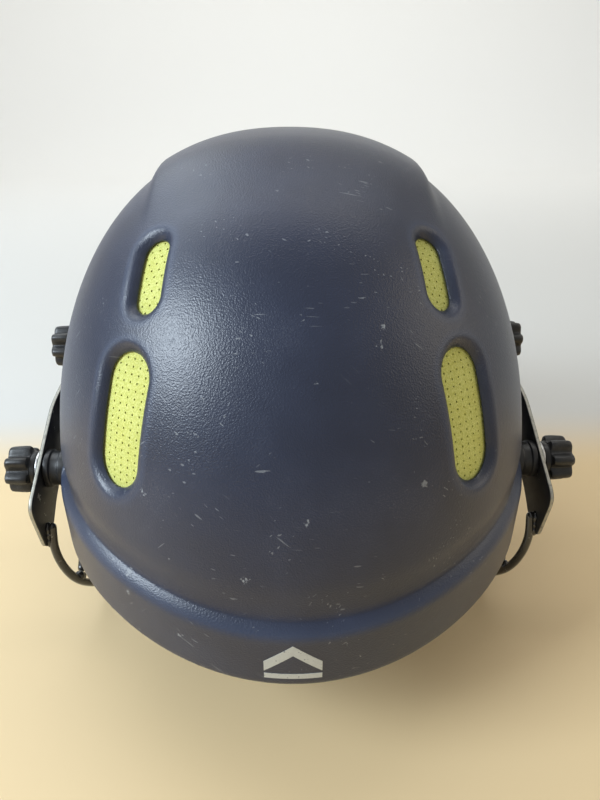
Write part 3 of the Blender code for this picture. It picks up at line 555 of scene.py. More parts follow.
def piece(name, bm, surface, body=None, part=None, sharp=50.0):
    """Turns a bmesh drawn in the helmet's frame into a piece that rides on a body, in a CAD part's place."""
    bm.transform(TO_ROW)
    mesh = bpy.data.meshes.new(name)
    bm.to_mesh(mesh)
    bm.free()
    mesh.materials.append(surface)
    made = bpy.data.objects.new(name, mesh)
    shade(made, sharp)
    bpy.context.scene.collection.objects.link(made)
    if body:
        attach(made, body)
    if part:
        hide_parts(part)
    return made


def turns(count):
    """Evenly spaced angles round a circle."""
    return [2.0 * pi * step / count for step in range(count)]


def bridge(bm, low, high):
    """Faces between two rings; where a ring is one vertex repeated, they are triangles."""
    for step in range(len(low)):
        after = (step + 1) % len(low)
        corners = [low[step], low[after], high[after], high[step]]
        corners = [vert for place, vert in enumerate(corners) if vert not in corners[:place]]
        if len(corners) > 2:
            bm.faces.new(corners)


def sheet_grid(columns, rows, place):
    """An open sheet round the helmet, closed at its crown: place(azimuth, row) gives each point."""
    bm = bmesh.new()
    rings = [[bm.verts.new(place(turn, row)) for turn in turns(columns)] for row in range(rows)]
    rings.append([bm.verts.new(place(0.0, rows))] * columns)
    for low, high in zip(rings, rings[1:]):
        bridge(bm, low, high)
    bm.normal_update()
    return bm


def trim(bm, field, snap=0.00008):
    """Cuts away the part of a sheet where field is below 0, along a clean line."""
    value = {vert: field(vert.co) for vert in bm.verts}
    value = {vert: 0.0 if abs(height) < snap else height for vert, height in value.items()}
    for edge in list(bm.edges):
        first, second = edge.verts
        if value[first] * value[second] < 0.0:
            share = value[first] / (value[first] - value[second])
            _, made = bmesh.utils.edge_split(edge, first, share)
            value[made] = 0.0
    for face in list(bm.faces):
        on_line = [vert for vert in face.verts if value[vert] == 0.0]
        if len(on_line) == 2 and not any(set(on_line) == set(edge.verts) for edge in face.edges):
            bmesh.utils.face_split(face, *on_line)
    outside = [face for face in bm.faces if any(value[vert] < 0.0 for vert in face.verts)]
    bmesh.ops.delete(bm, geom=outside, context="FACES")
    loose = [vert for vert in bm.verts if not vert.link_faces]
    bmesh.ops.delete(bm, geom=loose, context="VERTS")
    bm.normal_update()


def thicken(bm, inner, rounds=4, swell=1.0):
    """Closes a sheet with a second face through the inner points, and a rounded edge along every border."""
    verts, faces = list(bm.verts), list(bm.faces)
    border = [edge for edge in bm.edges if edge.is_boundary]
    runs, tangent = [], {}
    for edge in border:
        loop = edge.link_loops[0]
        start, end = loop.vert, loop.link_loop_next.vert
        runs.append((start, end))
        sideways = (end.co - start.co).cross(loop.face.normal).normalized()
        for vert in (start, end):
            tangent[vert] = tangent.get(vert, Vector()) + sideways
    twin = {vert: bm.verts.new(inner[vert]) for vert in verts}
    for face in faces:
        bm.faces.new([twin[vert] for vert in reversed(face.verts)])
    across = {}
    for vert, sideways in tangent.items():
        half = (vert.co - inner[vert]) / 2.0
        middle = (vert.co + inner[vert]) / 2.0
        push = sideways.normalized() * half.length * swell
        edge = [bm.verts.new(middle + half * cos(turn) + push * sin(turn))
                for turn in turns(2 * rounds)[1:rounds]]
        across[vert] = [vert, *edge, twin[vert]]
    for start, end in runs:
        first, second = across[start], across[end]
        for step in range(rounds):
            bm.faces.new((second[step], first[step], first[step + 1], second[step + 1]))
    bm.normal_update()


def applied(made):
    """Replaces an object's mesh with what its modifiers make of it."""
    bpy.context.view_layer.update()
    mesh = bpy.data.meshes.new_from_object(made.evaluated_get(bpy.context.evaluated_depsgraph_get()))
    made.modifiers.clear()
    made.data = mesh
    return made


def lathe(profile, segments=48, flute=None):
    """A profile of (distance along +X, radius) turned about X, with its ends on the axis or closed to a ring.

    With a flute depth for each angle, the profile's third number says how much of it a place has.
    """
    bm = bmesh.new()
    rings = []
    for along, radius, *share in profile:
        if radius < 1e-7:
            rings.append([bm.verts.new((along, 0.0, 0.0))] * segments)
            continue
        widths = [(turn, radius - (share[0] * flute(turn) if share else 0.0)) for turn in turns(segments)]
        rings.append([bm.verts.new((along, width * cos(turn), width * sin(turn))) for turn, width in widths])
    if profile[0][1] > 1e-7:
        rings.append(rings[0])
    for low, high in zip(rings, rings[1:]):
        bridge(bm, low, high)
    bmesh.ops.recalc_face_normals(bm, faces=bm.faces)
    return bm


def softened(profile, radius=0.0004, steps=3):
    """Rounds the inner corners of a profile."""
    made = [profile[0]]
    for before, corner, after in zip(profile, profile[1:], profile[2:]):
        here = Vector(corner)
        arms = [Vector(place) - here for place in (before, after)]
        cut = min(radius, *(arm.length * 0.45 for arm in arms))
        start, end = (here + arm.normalized() * cut for arm in arms)
        for step in range(steps + 1):
            share = step / steps
            made.append(tuple(start * (1 - share) ** 2 + here * 2 * share * (1 - share) + end * share ** 2))
    return made + [profile[-1]]


def out_of(side, x, place):
    """Matrix that puts a shape drawn along +X at a distance x from the middle plane, pointing outwards."""
    return Matrix.Translation((side * x, *place)) @ Matrix.Rotation(0.0 if side > 0 else pi, 4, "Z")


def smooth_route(points, steps):
    """Points on a smooth curve through the given ones (Catmull-Rom)."""
    ends = [points[0] * 2.0 - points[1], *points, points[-1] * 2.0 - points[-2]]
    route = []
    for before, start, end, after in zip(ends, ends[1:], ends[2:], ends[3:]):
        for step in range(steps):
            t = step / steps
            route.append(0.5 * (2.0 * start + (end - before) * t
                                + (2.0 * before - 5.0 * start + 4.0 * end - after) * t * t
                                + (3.0 * start - before - 3.0 * end + after) * t ** 3))
    return route + [points[-1]]


def add_tube(bm, route, radius, segments=16, end_rings=4):
    """Adds a round tube with domed ends along a route."""
    spine = []
    for end, away in ((route[0], route[0] - route[1]), (route[-1], route[-1] - route[-2])):
        caps = [(end + away.normalized() * radius * (sin(pi / 2.0 * ring / end_rings) - 1.0),
                 radius * cos(pi / 2.0 * ring / end_rings)) for ring in range(1, end_rings)]
        spine.append(caps)
    inner = [place for place in route[1:-1]
             if (place - route[0]).length > radius and (place - route[-1]).length > radius]
    starts = route[0] + (route[1] - route[0]).normalized() * radius
    ends = route[-1] + (route[-2] - route[-1]).normalized() * radius
    line = [*reversed(spine[0]), *((place, radius) for place in (starts, *inner, ends)), *spine[1]]
    across = None
    rings = []
    for step, (place, width) in enumerate(line):
        before, after = line[max(0, step - 1)][0], line[min(len(line) - 1, step + 1)][0]
        ahead = (after - before).normalized()
        if across is None:
            across = ahead.orthogonal().normalized()
        across = (across - ahead * across.dot(ahead)).normalized()
        other = ahead.cross(across)
        rings.append([bm.verts.new(place + (across * cos(turn) + other * sin(turn)) * width)
                      for turn in turns(segments)])
    for low, high in zip(rings, rings[1:]):
        bridge(bm, low, high)
    for ring, tip in ((rings[0][::-1], route[0]), (rings[-1], route[-1])):
        bridge(bm, ring, [bm.verts.new(tip)] * segments)
    return bm


def add_lump(bm, place, along, size, seed):
    """Adds a small uneven weld bead, longer along one direction."""
    made = bmesh.ops.create_icosphere(bm, subdivisions=3, radius=1.0)["verts"]
    turn = along.to_track_quat("X", "Z").to_matrix()
    for vert in made:
        uneven = 1.0 + 0.16 * noise.noise(vert.co * 2.1 + Vector((seed, 0.0, 0.0)))
        vert.co = place + turn @ (vert.co * Vector(size)) * uneven


def add_block(bm, size, place, radius=0.0006, turn=None):
    """Adds a box with rounded edges."""
    made = bmesh.ops.create_cube(bm, size=1.0, matrix=Matrix.Diagonal((*size, 1.0)))["verts"]
    edges = list({edge for vert in made for edge in vert.link_edges})
    rounded = bmesh.ops.bevel(bm, geom=edges, offset=radius, segments=3, profile=0.5, affect="EDGES")
    verts = {vert for face in rounded["faces"] for vert in face.verts}
    matrix = Matrix.Translation(place) @ (turn or Matrix.Identity(4))
    for vert in verts:
        vert.co = matrix @ vert.co


def carve(made, shape):
    """Cuts a closed shape, drawn in the helmet's frame, out of a piece."""
    cutter = piece("cutter", shape, BLACK)
    step = made.modifiers.new("cut", "BOOLEAN")
    step.operation, step.solver, step.object = "DIFFERENCE", "EXACT", cutter
    applied(made)
    bpy.data.objects.remove(cutter, do_unlink=True)


def moulded(name, size, place, radius, windows, body):
    """A rounded plastic block with rounded windows, given as (size, place), cut out of it."""
    bm, holes = bmesh.new(), bmesh.new()
    add_block(bm, size, place, radius)
    made = piece(f"{name}_moulded", bm, BLACK, None, name)
    for window, middle in windows:
        add_block(holes, window, middle, min(window) * 0.18)
    carve(made, holes)
    shade(made, 35.0)
    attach(made, body)


# ---------------------------------------------------------------- shell

def shell_row(azimuth, row):
    if row <= HEM_ROWS:
        share = 1.0 - row / HEM_ROWS
        spare = RIM_SPARE[0] + (RIM_SPARE[1] - RIM_SPARE[0]) * peak_share(azimuth)
        return hem_at(azimuth, spare * (0.45 * share + 0.55 * share ** 1.9))
    return dome_row(azimuth, (row - HEM_ROWS) / DOME_ROWS)


def rubbed(point, distance):
    """How much rubbing wear and painted bluish sheen a place on the shell carries, from 0 to 1: most along
    the vents' lips and the band's ledge.
    """
    lip = 0.8 * (1.0 - min(1.0, abs(distance - LIP) / 0.0022)) if distance < LIP + 0.003 else 0.0
    azimuth = atan2((point.y - WIDEST_Y) / REAR_REACH, point.x / HALF_WIDTH)
    below = RIDGE_Z + ridge_height(azimuth) - point.z
    return max(lip, (1.0 - min(1.0, abs(below - 0.0040) / 0.0040)) * (1.0 - peak_share(azimuth)))


def make_shell():
    bm = sheet_grid(COLUMNS, HEM_ROWS + DOME_ROWS, shell_row)
    near = {vert for vert in bm.verts if abs(vent_distance(vert.co)) < VENT_ZONE}
    edges = [edge for edge in bm.edges if near.issuperset(edge.verts)]
    bmesh.ops.subdivide_edges(bm, edges=edges, cuts=2, use_grid_fill=True)
    bm.normal_update()
    trim(bm, lambda point: vent_distance(point) - VENT_ROUND)
    # Share of rubbing wear and painted bluish sheen at each vertex, read by the shell's material
    wear_and_sheen = bm.verts.layers.float.new("wear_and_sheen")
    inner, sunk = {}, {}
    for vert in bm.verts:
        distance = vent_distance(vert.co) - VENT_ROUND
        dip = max(0.0, 1.0 - max(0.0, distance) / LIP) ** LIP_CURVE
        inner[vert] = vert.co - vert.normal * SHELL_WALL
        sunk[vert] = vert.co - vert.normal * LIP_DROP * dip
        vert[wear_and_sheen] = rubbed(vert.co, distance)
    for vert, place in sunk.items():
        vert.co = place
    bm.normal_update()
    thicken(bm, inner)
    piece("shell", bm, SHELL, "helmet", "outer_shell")


def on_band(x, drop, lift):
    """Point of the rear band at a distance from the middle plane, a little proud of its face."""
    azimuth = -pi / 2.0 + asin(max(-1.0, min(1.0, x / HALF_WIDTH)))
    return hem_at(azimuth, drop) + outward(azimuth) * lift


def make_mark():
    """A plain printed device on the rear band: a chevron over a short bar."""
    bm = bmesh.new()
    steps_across, half = 12, 0.0108
    strokes = [((0.0, 0.26), (side * half, 0.55), 0.17) for side in SIDES.values()]
    strokes.append(((-half, 0.76), (half, 0.76), 0.085))
    for (start_x, start_drop), (end_x, end_drop), tall in strokes:
        if end_x < start_x:
            (start_x, start_drop), (end_x, end_drop) = (end_x, end_drop), (start_x, start_drop)
        columns = []
        for step in range(steps_across + 1):
            share = step / steps_across
            x, drop = start_x + (end_x - start_x) * share, start_drop + (end_drop - start_drop) * share
            columns.append([bm.verts.new(on_band(x + MARK_X, drop + tall * part, MARK_SKIN))
                            for part in (1.0, 0.5, 0.0)])
        for before, after in zip(columns, columns[1:]):
            for low in range(2):
                bm.faces.new((before[low], after[low], after[low + 1], before[low + 1]))
    bmesh.ops.remove_doubles(bm, verts=bm.verts, dist=1e-6)
    bm.normal_update()
    thicken(bm, {vert: vert.co - vert.normal * (MARK_SKIN + 0.0002) for vert in bm.verts}, 2, 0.0)
    piece("rear_mark", bm, MARK, "helmet")


# ---------------------------------------------------------------- vent meshes

def make_vent_mesh(side, size):
    """A perforated sheet behind a vent: round holes in cells that share their borders."""
    matrix, length = VENT_PLACES[side, size]
    width = VENTS[size][2]
    run = (length - width) / 2.0
    pitch, row_pitch = HOLE_PITCH
    border = width / 2.0 + MESH_LAP
    bm, known = bmesh.new(), {}

    def over(u, v):
        return hypot(u, max(0.0, abs(v) - run)) - border

    def vert_at(u, v):
        key = (round(u, 6), round(v, 6))
        if key not in known:
            beyond = over(u, v)
            if beyond > 0.0:
                centre = Vector((0.0, max(-run, min(run, v))))
                u, v = centre + (Vector((u, v)) - centre).normalized() * border
            height = 0.0
            for _ in range(6):
                point = matrix @ Vector((u, v, height))
                normal = dome_normal(point.x, point.z)
                error = (point.y - dome_y(point.x, point.z)) * normal.y
                height -= error / max(0.3, normal.dot(matrix.col[2].to_3d()))
            known[key] = (bm.verts.new(point - normal * MESH_DEPTH), normal)
        return known[key][0]

    rows, columns = ceil((run + border) / row_pitch) + 1, ceil(border / pitch) + 1
    for row in range(-rows, rows + 1):
        for column in range(-columns, columns + 1):
            shift = 0.5 * (row % 2) if size == "small" else 0.0
            u, v = (column + shift) * pitch, row * row_pitch
            if over(u, v) > -0.0002:
                continue
            corners = [(1, 0), (1, 1), (0, 1), (-1, 1), (-1, 0), (-1, -1), (0, -1), (1, -1)]
            outer = [vert_at(u + dx * pitch / 2.0, v + dy * row_pitch / 2.0) for dx, dy in corners]
            ring = [vert_at(u + HOLE_RADIUS * cos(turn), v + HOLE_RADIUS * sin(turn)) for turn in turns(8)]
            bridge(bm, outer, ring)
    bmesh.ops.recalc_face_normals(bm, faces=bm.faces)
    bm.normal_update()
    sample = next(iter(known.values()))
    if sample[0].normal.dot(sample[1]) < 0.0:
        bmesh.ops.reverse_faces(bm, faces=bm.faces)
        bm.normal_update()
    normals = {vert: normal for vert, normal in known.values()}
    thicken(bm, {vert: vert.co - normals[vert] * MESH_THICK for vert in bm.verts}, 1, 0.0)
    name = f"vent_mesh_{size}_{side}"
    piece(f"{name}_perforated", bm, LIME, "helmet", name, 30.0)


# ---------------------------------------------------------------- liner and pads

def pocket_distance(point):
    if abs(point.x) < 0.05:
        return 1.0
    return min(hypot(point.y - y, point.z - z) - POCKET_RADIUS for y, z in BOLTS.values())


def make_liner():
    rows = 60
    bm = sheet_grid(240, rows, lambda azimuth, row: liner_at(azimuth, row / rows))
    swell = 0.30
    rounding = LINER_THICK / 2.0 * swell
    trim(bm, lambda point: min(vent_distance(point) + DUCT_SHRINK, pocket_distance(point)) - rounding)
    outer = {vert: vert.co - vert.normal * LINER_DEPTH for vert in bm.verts}
    inner = {vert: vert.co - vert.normal * (LINER_DEPTH + LINER_THICK) for vert in bm.verts}
    for vert, place in outer.items():
        vert.co = place
    thicken(bm, inner, 5, swell)
    piece("liner", bm, FOAM, "helmet", "foam_liner")


PAD_SEAMS = {               # sewn channels: (axis across the channel, places along it)
    "crown_pad": ("y", (-0.012, 0.012, 0.036)),
    "brow_pad": ("x", (-0.044, -0.015, 0.015, 0.044)),
    "nape_pad": ("x", (-0.026, 0.0, 0.026)),
    "temple_pad_left": ("y", (-0.042, -0.020, 0.002)),
    "temple_pad_right": ("y", (-0.042, -0.020, 0.002)),
}
PAD_SHRINK, PAD_CAP = 0.0012, 0.0030
SEAM_DEPTH, SEAM_HALF = 0.0019, 0.0017


def make_pads():
    """Stuffed pads: the CAD solids remeshed, blown up by a short cloth simulation, then sewn in channels."""
    scene = bpy.context.scene
    pads = {}
    for name in PAD_SEAMS:
        pad = bpy.data.objects.new(f"{name}_stuffed", NODES[name].data.copy())
        pad.data.materials.clear()
        scene.collection.objects.link(pad)
        step = pad.modifiers.new("voxels", "REMESH")
        step.mode, step.voxel_size = "VOXEL", 0.0035
        applied(pad)
        pad.data.update()
        rest = [vert.co - vert.normal * PAD_SHRINK for vert in pad.data.vertices]
        for vert, place in zip(pad.data.vertices, rest):
            vert.co = place
        pads[name] = (pad, rest)
    for pad, _ in pads.values():
        cloth = pad.modifiers.new("stuffing", "CLOTH")
        settings = cloth.settings
        settings.use_pressure = True
        settings.uniform_pressure_force = 4.0
        settings.effector_weights.gravity = 0.0
        cloth.point_cache.frame_start, cloth.point_cache.frame_end = 1, 20
    for step in range(1, 21):
        scene.frame_set(step)
    for name, (pad, rest) in pads.items():
        applied(pad)
        for vert, start in zip(pad.data.vertices, rest):
            moved = vert.co - start
            if moved.length > PAD_CAP:
                vert.co = start + moved.normalized() * PAD_CAP
        step = pad.modifiers.new("smoother", "SUBSURF")
        step.levels = step.render_levels = 1
        applied(pad)
        pad.data.update()
        axis, places = PAD_SEAMS[name]
        number = "xyz".index(axis)
        shift = -CENTRE_Y if axis == "y" else 0.0
        sewn = []
        for vert in pad.data.vertices:
            off = min(abs(vert.co[number] - place - shift) for place in places)
            sewn.append(vert.co - vert.normal * SEAM_DEPTH * max(0.0, 1.0 - off / (2.0 * SEAM_HALF)) ** 2)
        for vert, place in zip(pad.data.vertices, sewn):
            vert.co = place
        pad.data.materials.append(CLOTH)
        pad.data.shade_smooth()
        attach(pad, "helmet")
        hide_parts(name)
    scene.frame_set(1)


def make_chin_cup():
    """An oval moulded cup pad: dished, with a rolled rim and a row of small breathing holes pressed in."""
    length, width, thick = CUP        # half the oval's length and width, and the thickness
    rings, segments = 16, 72
    bm = bmesh.new()
    grid = []
    for ring in range(1, rings + 1):
        share = ring / rings
        lift = 0.0007 * smooth(0.75, 0.95, share) - 0.0005 * (1.0 - share ** 2)
        grid.append([bm.verts.new((length * 0.965 * share * cos(turn), width * 0.93 * share * sin(turn),
                                   lift + thick * 0.30)) for turn in turns(segments)])
    grid.insert(0, [bm.verts.new((0.0, 0.0, -0.0005 + thick * 0.30))] * segments)
    for low, high in zip(grid, grid[1:]):
        bridge(bm, high, low)
    for vert in bm.verts:
        for row in (-0.5, 0.5):
            for column in range(-3, 4):
                hole = Vector((column * 0.0068, row * 0.011, vert.co.z))
                vert.co.z -= 0.0005 * max(0.0, 1.0 - (vert.co - hole).length / 0.0018)
    bm.normal_update()
    thicken(bm, {vert: vert.co - Vector((0.0, 0.0, thick * 0.80)) for vert in bm.verts}, 5, 0.9)
    place = Vector((CUP_X, STRAP_Y, STRAP_Z - STRAP_THICK / 2.0 - GAP - thick / 2.0))
    bmesh.ops.translate(bm, vec=place, verts=bm.verts)
    piece("chin_cup_pad", bm, CLOTH, "helmet", "chin_cup")


# ---------------------------------------------------------------- guard fixings

def shell_x(y, z):
    """Distance of the dome's side from the middle plane at a place (y, z)."""
    level = max(0.0, (z - RIDGE_Z) / DOME_HEIGHT)
    ahead = y - WIDEST_Y - CROWN_SHIFT * level
    return HALF_WIDTH * (reach_at(level) ** 2 - (ahead / half_length(ahead)) ** 2) ** 0.5


def knob_shape():
    """Fluted hand knob along +X: collar, undercut, deep-fluted lobes with a rounded edge, dished end face."""
    profile = [(0.0, 0.0, 0.0), (0.0, 0.66, 0.0), (0.0003, 0.715, 0.0), (0.0009, 0.735, 0.0),
               (0.0024, 0.735, 0.0), (0.0028, 0.76, 0.0), (0.0030, 0.86, 0.55), (0.0034, 0.95, 0.9),
               (0.0042, 0.99, 1.0), (0.0060, 1.0, 1.0), (0.0090, 0.99, 1.0), (0.0118, 0.975, 1.0),
               (0.0130, 0.955, 0.97), (0.0136, 0.92, 0.9), (0.0139, 0.87, 0.8), (0.0140, 0.80, 0.62),
               (0.0140, 0.56, 0.15), (0.0139, 0.50, 0.0), (0.0134, 0.47, 0.0), (0.0131, 0.44, 0.0),
               (0.0130, 0.30, 0.0), (0.0130, 0.0, 0.0)]
    profile = [(along, KNOB_RADIUS * share, fluting) for along, share, fluting in profile]
    return lathe(profile, KNOB_LOBES * 24, lambda turn: FLUTE * (0.5 - 0.5 * cos(KNOB_LOBES * turn)) ** 1.3)


def make_fixing(side_name, end):
    """Bolt, insert, spacer, washer and knob of one guard fixing."""
    side, place = SIDES[side_name], BOLTS[end]
    wall = shell_x(*place)
    plate_in, plate_out = PLATE_X[end] - PLATE_THICK / 2.0, PLATE_X[end] + PLATE_THICK / 2.0
    stand = plate_in - GAP - wall

    def put(kind, finish, bm, x, surface, moves=False):
        name = f"{kind}_{end}_{side_name}"
        bm.transform(out_of(side, x, place))
        piece(f"{name}_{finish}", bm, surface, name if moves else "helmet", name, 35.0)

    waist, sink = SPACER_RADIUS - 0.0009, SPACER_SINK
    put("spacer", "turned", lathe(softened([
        (0.0, BOLT_HOLE), (0.0, SPACER_RADIUS), (sink + stand * 0.22, SPACER_RADIUS),
        (sink + 0.0004 + stand * 0.22, waist), (sink - 0.0004 + stand * 0.72, waist),
        (sink + stand * 0.72, SPACER_RADIUS), (sink + stand, SPACER_RADIUS),
        (sink + stand, BOLT_HOLE)])), wall - sink, BLACK)
    seat = INSERT_REACH + (BAND_SEAT if end == "rear" else 0.0)
    inside = wall - SHELL_WALL - INSERT_REACH
    put("insert", "turned", lathe(softened([
        (0.0, BOLT_HOLE), (0.0, INSERT_RADIUS * 0.82), (0.0012, INSERT_RADIUS), (seat, INSERT_RADIUS),
        (seat, BOLT_HOLE)])), inside, BLACK)

    head, drive, thick, thread, pitch = 0.0075, 0.0022, 0.0024, 0.008, 0.001
    start = inside - GAP - thick
    length = plate_out + 2.0 * GAP + WASHER[1] + 0.0100 - start
    bolt = [(0.0013, 0.0), (0.0013, drive), (0.0002, drive + 0.0002), (0.0, drive + 0.0008),
            (0.0, head * 0.80), (0.0006, head * 0.95), (0.0014, head), (thick, head), (thick, BOLT_RADIUS)]
    for turn in range(int((length - thread) / pitch)):
        along = thread + turn * pitch
        bolt += [(along, BOLT_RADIUS), (along + pitch / 2.0, BOLT_RADIUS - 0.0004)]
    bolt += [(length - 0.0008, BOLT_RADIUS), (length, BOLT_RADIUS - 0.0007), (length, 0.0)]
    put("bolt", "turned", lathe(bolt, 36), start, STEEL)

    washer = [(0.0, BOLT_HOLE), (0.0, WASHER[0]), (WASHER[1], WASHER[0]), (WASHER[1], BOLT_HOLE)]
    put("washer", "turned", lathe(softened(washer, 0.00025)), plate_out + GAP, STEEL, True)
    put("knob", "fluted", knob_shape(), plate_out + 2.0 * GAP + WASHER[1], BLACK, True)


# ---------------------------------------------------------------- guard

def plate_point(along, across):
    """(Y, Z) of a place given along the plate's slope and across it, from the rear bolt."""
    y, z = REAR_BOLT
    return Vector((y + along * cos(PLATE_SLOPE) - across * sin(PLATE_SLOPE),
                   z + along * sin(PLATE_SLOPE) + across * cos(PLATE_SLOPE)))


def plate_outline():
    front = [(BOLT_SPACING + PLATE_NOSE + PLATE_END * sin(turn), PLATE_END * cos(turn))
             for turn in turns(48)[:25]]
    tail = [(0.0200, -0.0160), (-0.0080, -0.0185), (-0.0260, -0.0235), (-0.0315, -0.0225),
            (-0.0340, -0.0185), (-0.0285, 0.0030), (-0.0265, 0.0070), (-0.0225, 0.0088), (0.0130, 0.0105)]
    return front + softened([front[-1], *tail, front[0]], 0.0045, 5)[1:-1]


def make_plate(side_name):
    """Side plate with rounded cut edges and a smooth bend between its two ends."""
    side, thick = SIDES[side_name], PLATE_THICK
    bm = bmesh.new()
    verts = [bm.verts.new((0.0, *plate_point(*place))) for place in plate_outline()]
    bm.faces.new(verts)
    slope = (0.0, cos(PLATE_SLOPE), sin(PLATE_SLOPE))
    bend_start, bend_end = JOGGLE[0] - 0.004, JOGGLE[1] + 0.004
    for step in range(21):
        along = bend_start + (bend_end - bend_start) * step / 20.0
        bmesh.ops.bisect_plane(bm, geom=bm.verts[:] + bm.edges[:] + bm.faces[:],
                               plane_co=(0.0, *plate_point(along, 0.0)), plane_no=slope)
    pushed = bmesh.ops.extrude_face_region(bm, geom=bm.faces[:])
    moved = [item for item in pushed["geom"] if isinstance(item, bmesh.types.BMVert)]
    bmesh.ops.translate(bm, vec=(thick, 0.0, 0.0), verts=moved)
    for vert in bm.verts:
        along = (vert.co.y - REAR_BOLT[0]) * cos(PLATE_SLOPE) + (vert.co.z - REAR_BOLT[1]) * sin(PLATE_SLOPE)
        bent = smooth(bend_start, bend_end, along)
        middle = PLATE_X["rear"] + (PLATE_X["front"] - PLATE_X["rear"]) * bent
        vert.co.x = side * (vert.co.x - thick / 2.0 + middle)
    bmesh.ops.recalc_face_normals(bm, faces=bm.faces)

    front = plate_point(BOLT_SPACING, 0.0)
    start = atan2(REAR_BOLT[1] - front.y, REAR_BOLT[0] - front.x)
    holes = bmesh.new()
    add_prism(holes, slot_outline(front, start, BOLT_HOLE + 0.0004), side * PLATE_X["rear"])
    circle = [front + Vector((cos(turn), sin(turn))) * BOLT_HOLE for turn in turns(32)]
    add_prism(holes, circle, side * PLATE_X["front"])
    name = f"side_plate_{side_name}"
    made = piece(f"{name}_bent", bm, PLATE, None, name)
    carve(made, holes)
    step = made.modifiers.new("edges", "BEVEL")
    step.width, step.segments, step.limit_method, step.angle_limit = BEVEL, 3, "ANGLE", radians(40.0)
    applied(made)
    shade(made, 35.0)
    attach(made, "guard")


def slot_outline(front, start, half):
    """Curved slot at the rear bolt, on a circle round the front one, for the guard's tilt both ways."""
    outline = []
    for end, first in ((start + TILT, 0.0), (start - TILT, pi)):
        middle = front + Vector((cos(end), sin(end))) * BOLT_SPACING
        outline += [middle + Vector((cos(end + first + turn), sin(end + first + turn))) * half
                    for turn in turns(24)[:13]]
    return outline


def add_prism(bm, outline, x):
    """Adds a closed block along X with an outline of (Y, Z) places."""
    low = [bm.verts.new((x - CUT_REACH, *place)) for place in outline]
    high = [bm.verts.new((x + CUT_REACH, *place)) for place in outline]
    bm.faces.new(low[::-1])
    bm.faces.new(high)
    bridge(bm, low, high)
    bmesh.ops.recalc_face_normals(bm, faces=bm.faces)


def both_sides(points, steps=3):
    """A wire's route across the middle plane, from the points of its right half."""
    right = [Vector(point) for point in points]
    left = [Vector((-point.x, point.y, point.z)) for point in reversed(right[:-1])]
    return smooth_route(right + left, steps)


def crossing(bar, side):
    """Where a wire's front part crosses the cheek strut's distance from the middle plane."""
    for start, end in zip(bar, bar[1:]):
        before, after = start.x * side - STRUT_X, end.x * side - STRUT_X
        if before * after <= 0.0 and start.y > 0.020:
            return start.lerp(end, before / (before - after))


def make_wire(name, route):
    piece(f"{name}_wire", add_tube(bmesh.new(), route, WIRE_RADIUS), WIRE, "guard", name, 80.0)


def make_guard():
    """Side plates, wires and the weld beads between them."""
    for side_name in SIDES:
        make_plate(side_name)
    bars = {"eye_bar": EYE_ROUTE, "nose_bar": NOSE_ROUTE, "mouth_bar": MOUTH_ROUTE, "chin_bar": CHIN_ROUTE}
    beads = bmesh.new()
    for name, points in bars.items():
        make_wire(name, both_sides(points, 12))
    insets = {"chin_bar": 0.0010, "nose_bar": 0.0006, "eye_bar": 0.0006}
    for side_name, side in SIDES.items():
        mirror = Vector((side, 1.0, 1.0))
        route = []
        for seed, points in enumerate(bars.values()):
            bar = both_sides(points)
            place = crossing(bar, side)
            inwards = Vector((-place.x, -place.y, 0.0)).normalized()
            route.append(place + inwards * (2.0 * WIRE_RADIUS + STRUT_GAP))
            bead = place + inwards * (WIRE_RADIUS + STRUT_GAP / 2.0)
            bead.z = max(bead.z, 0.0040)
            add_lump(beads, bead, Vector((0.0, 0.0, 1.0)), (0.0030, 0.0026, 0.0022), seed + 5.0 * side)
        route[0].z += WIRE_RADIUS
        make_wire(f"cheek_strut_{side_name}", smooth_route(route, 12))
        for name, inset in insets.items():
            points = [Vector(place) * mirror for place in bars[name][:2]]
            ahead = (points[1] - points[0]).normalized()
            for step in range(3):
                place = points[0] + ahead * (0.0030 + 0.0034 * step)
                place.x += side * (WIRE_RADIUS * 0.55 + inset)
                add_lump(beads, place, ahead, (0.0032, WELD, 0.0024), step + 9.0 * side)
        start, hold = Vector(MOUTH_ROUTE[0]) * mirror, Vector(CHIN_ROUTE[3]) * mirror
        for step in range(3):
            place = start.lerp(hold, 0.30 + 0.20 * step) + Vector((0.0, 0.0, 0.0016 * (step - 1)))
            add_lump(beads, place, hold - start, (0.0026, 0.0026, 0.0024), step + 3.0 * side)
    piece("weld_beads", beads, WIRE, "guard", sharp=80.0)


# ---------------------------------------------------------------- chin strap

def make_strap(places):
    """Flat webbing along (X, Z) places: its route, the lengths along it, and its mesh with rounded edges."""
    route = smooth_route([Vector((x, STRAP_Y, z)) for x, z in places], 14)
    rows, flat, half = 12, STRAP_WIDTH - STRAP_THICK, STRAP_THICK / 2.0
    bm = bmesh.new()
    grid = []
    for step, place in enumerate(route):
        ahead = (route[min(step + 1, len(route) - 1)] - route[max(step - 1, 0)]).normalized()
        up = Vector((-ahead.z, 0.0, ahead.x))
        grid.append(([bm.verts.new(place + Vector((0.0, (row / rows - 0.5) * flat, 0.0)) + up * half)
                      for row in range(rows + 1)], up))
    for (before, _), (after, _) in zip(grid, grid[1:]):
        for row in range(rows):
            bm.faces.new((before[row], before[row + 1], after[row + 1], after[row]))
    bm.normal_update()
    lift = {vert: up for line, up in grid for vert in line}
    if sum(vert.normal.dot(up) for vert, up in lift.items()) < 0.0:
        bmesh.ops.reverse_faces(bm, faces=bm.faces)
        bm.normal_update()
    thicken(bm, {vert: vert.co - up * STRAP_THICK for vert, up in lift.items()}, 4, 0.9)
    lengths = [0.0]
    for before, after in zip(route, route[1:]):
        lengths.append(lengths[-1] + (after - before).length)
    return route, lengths, bm


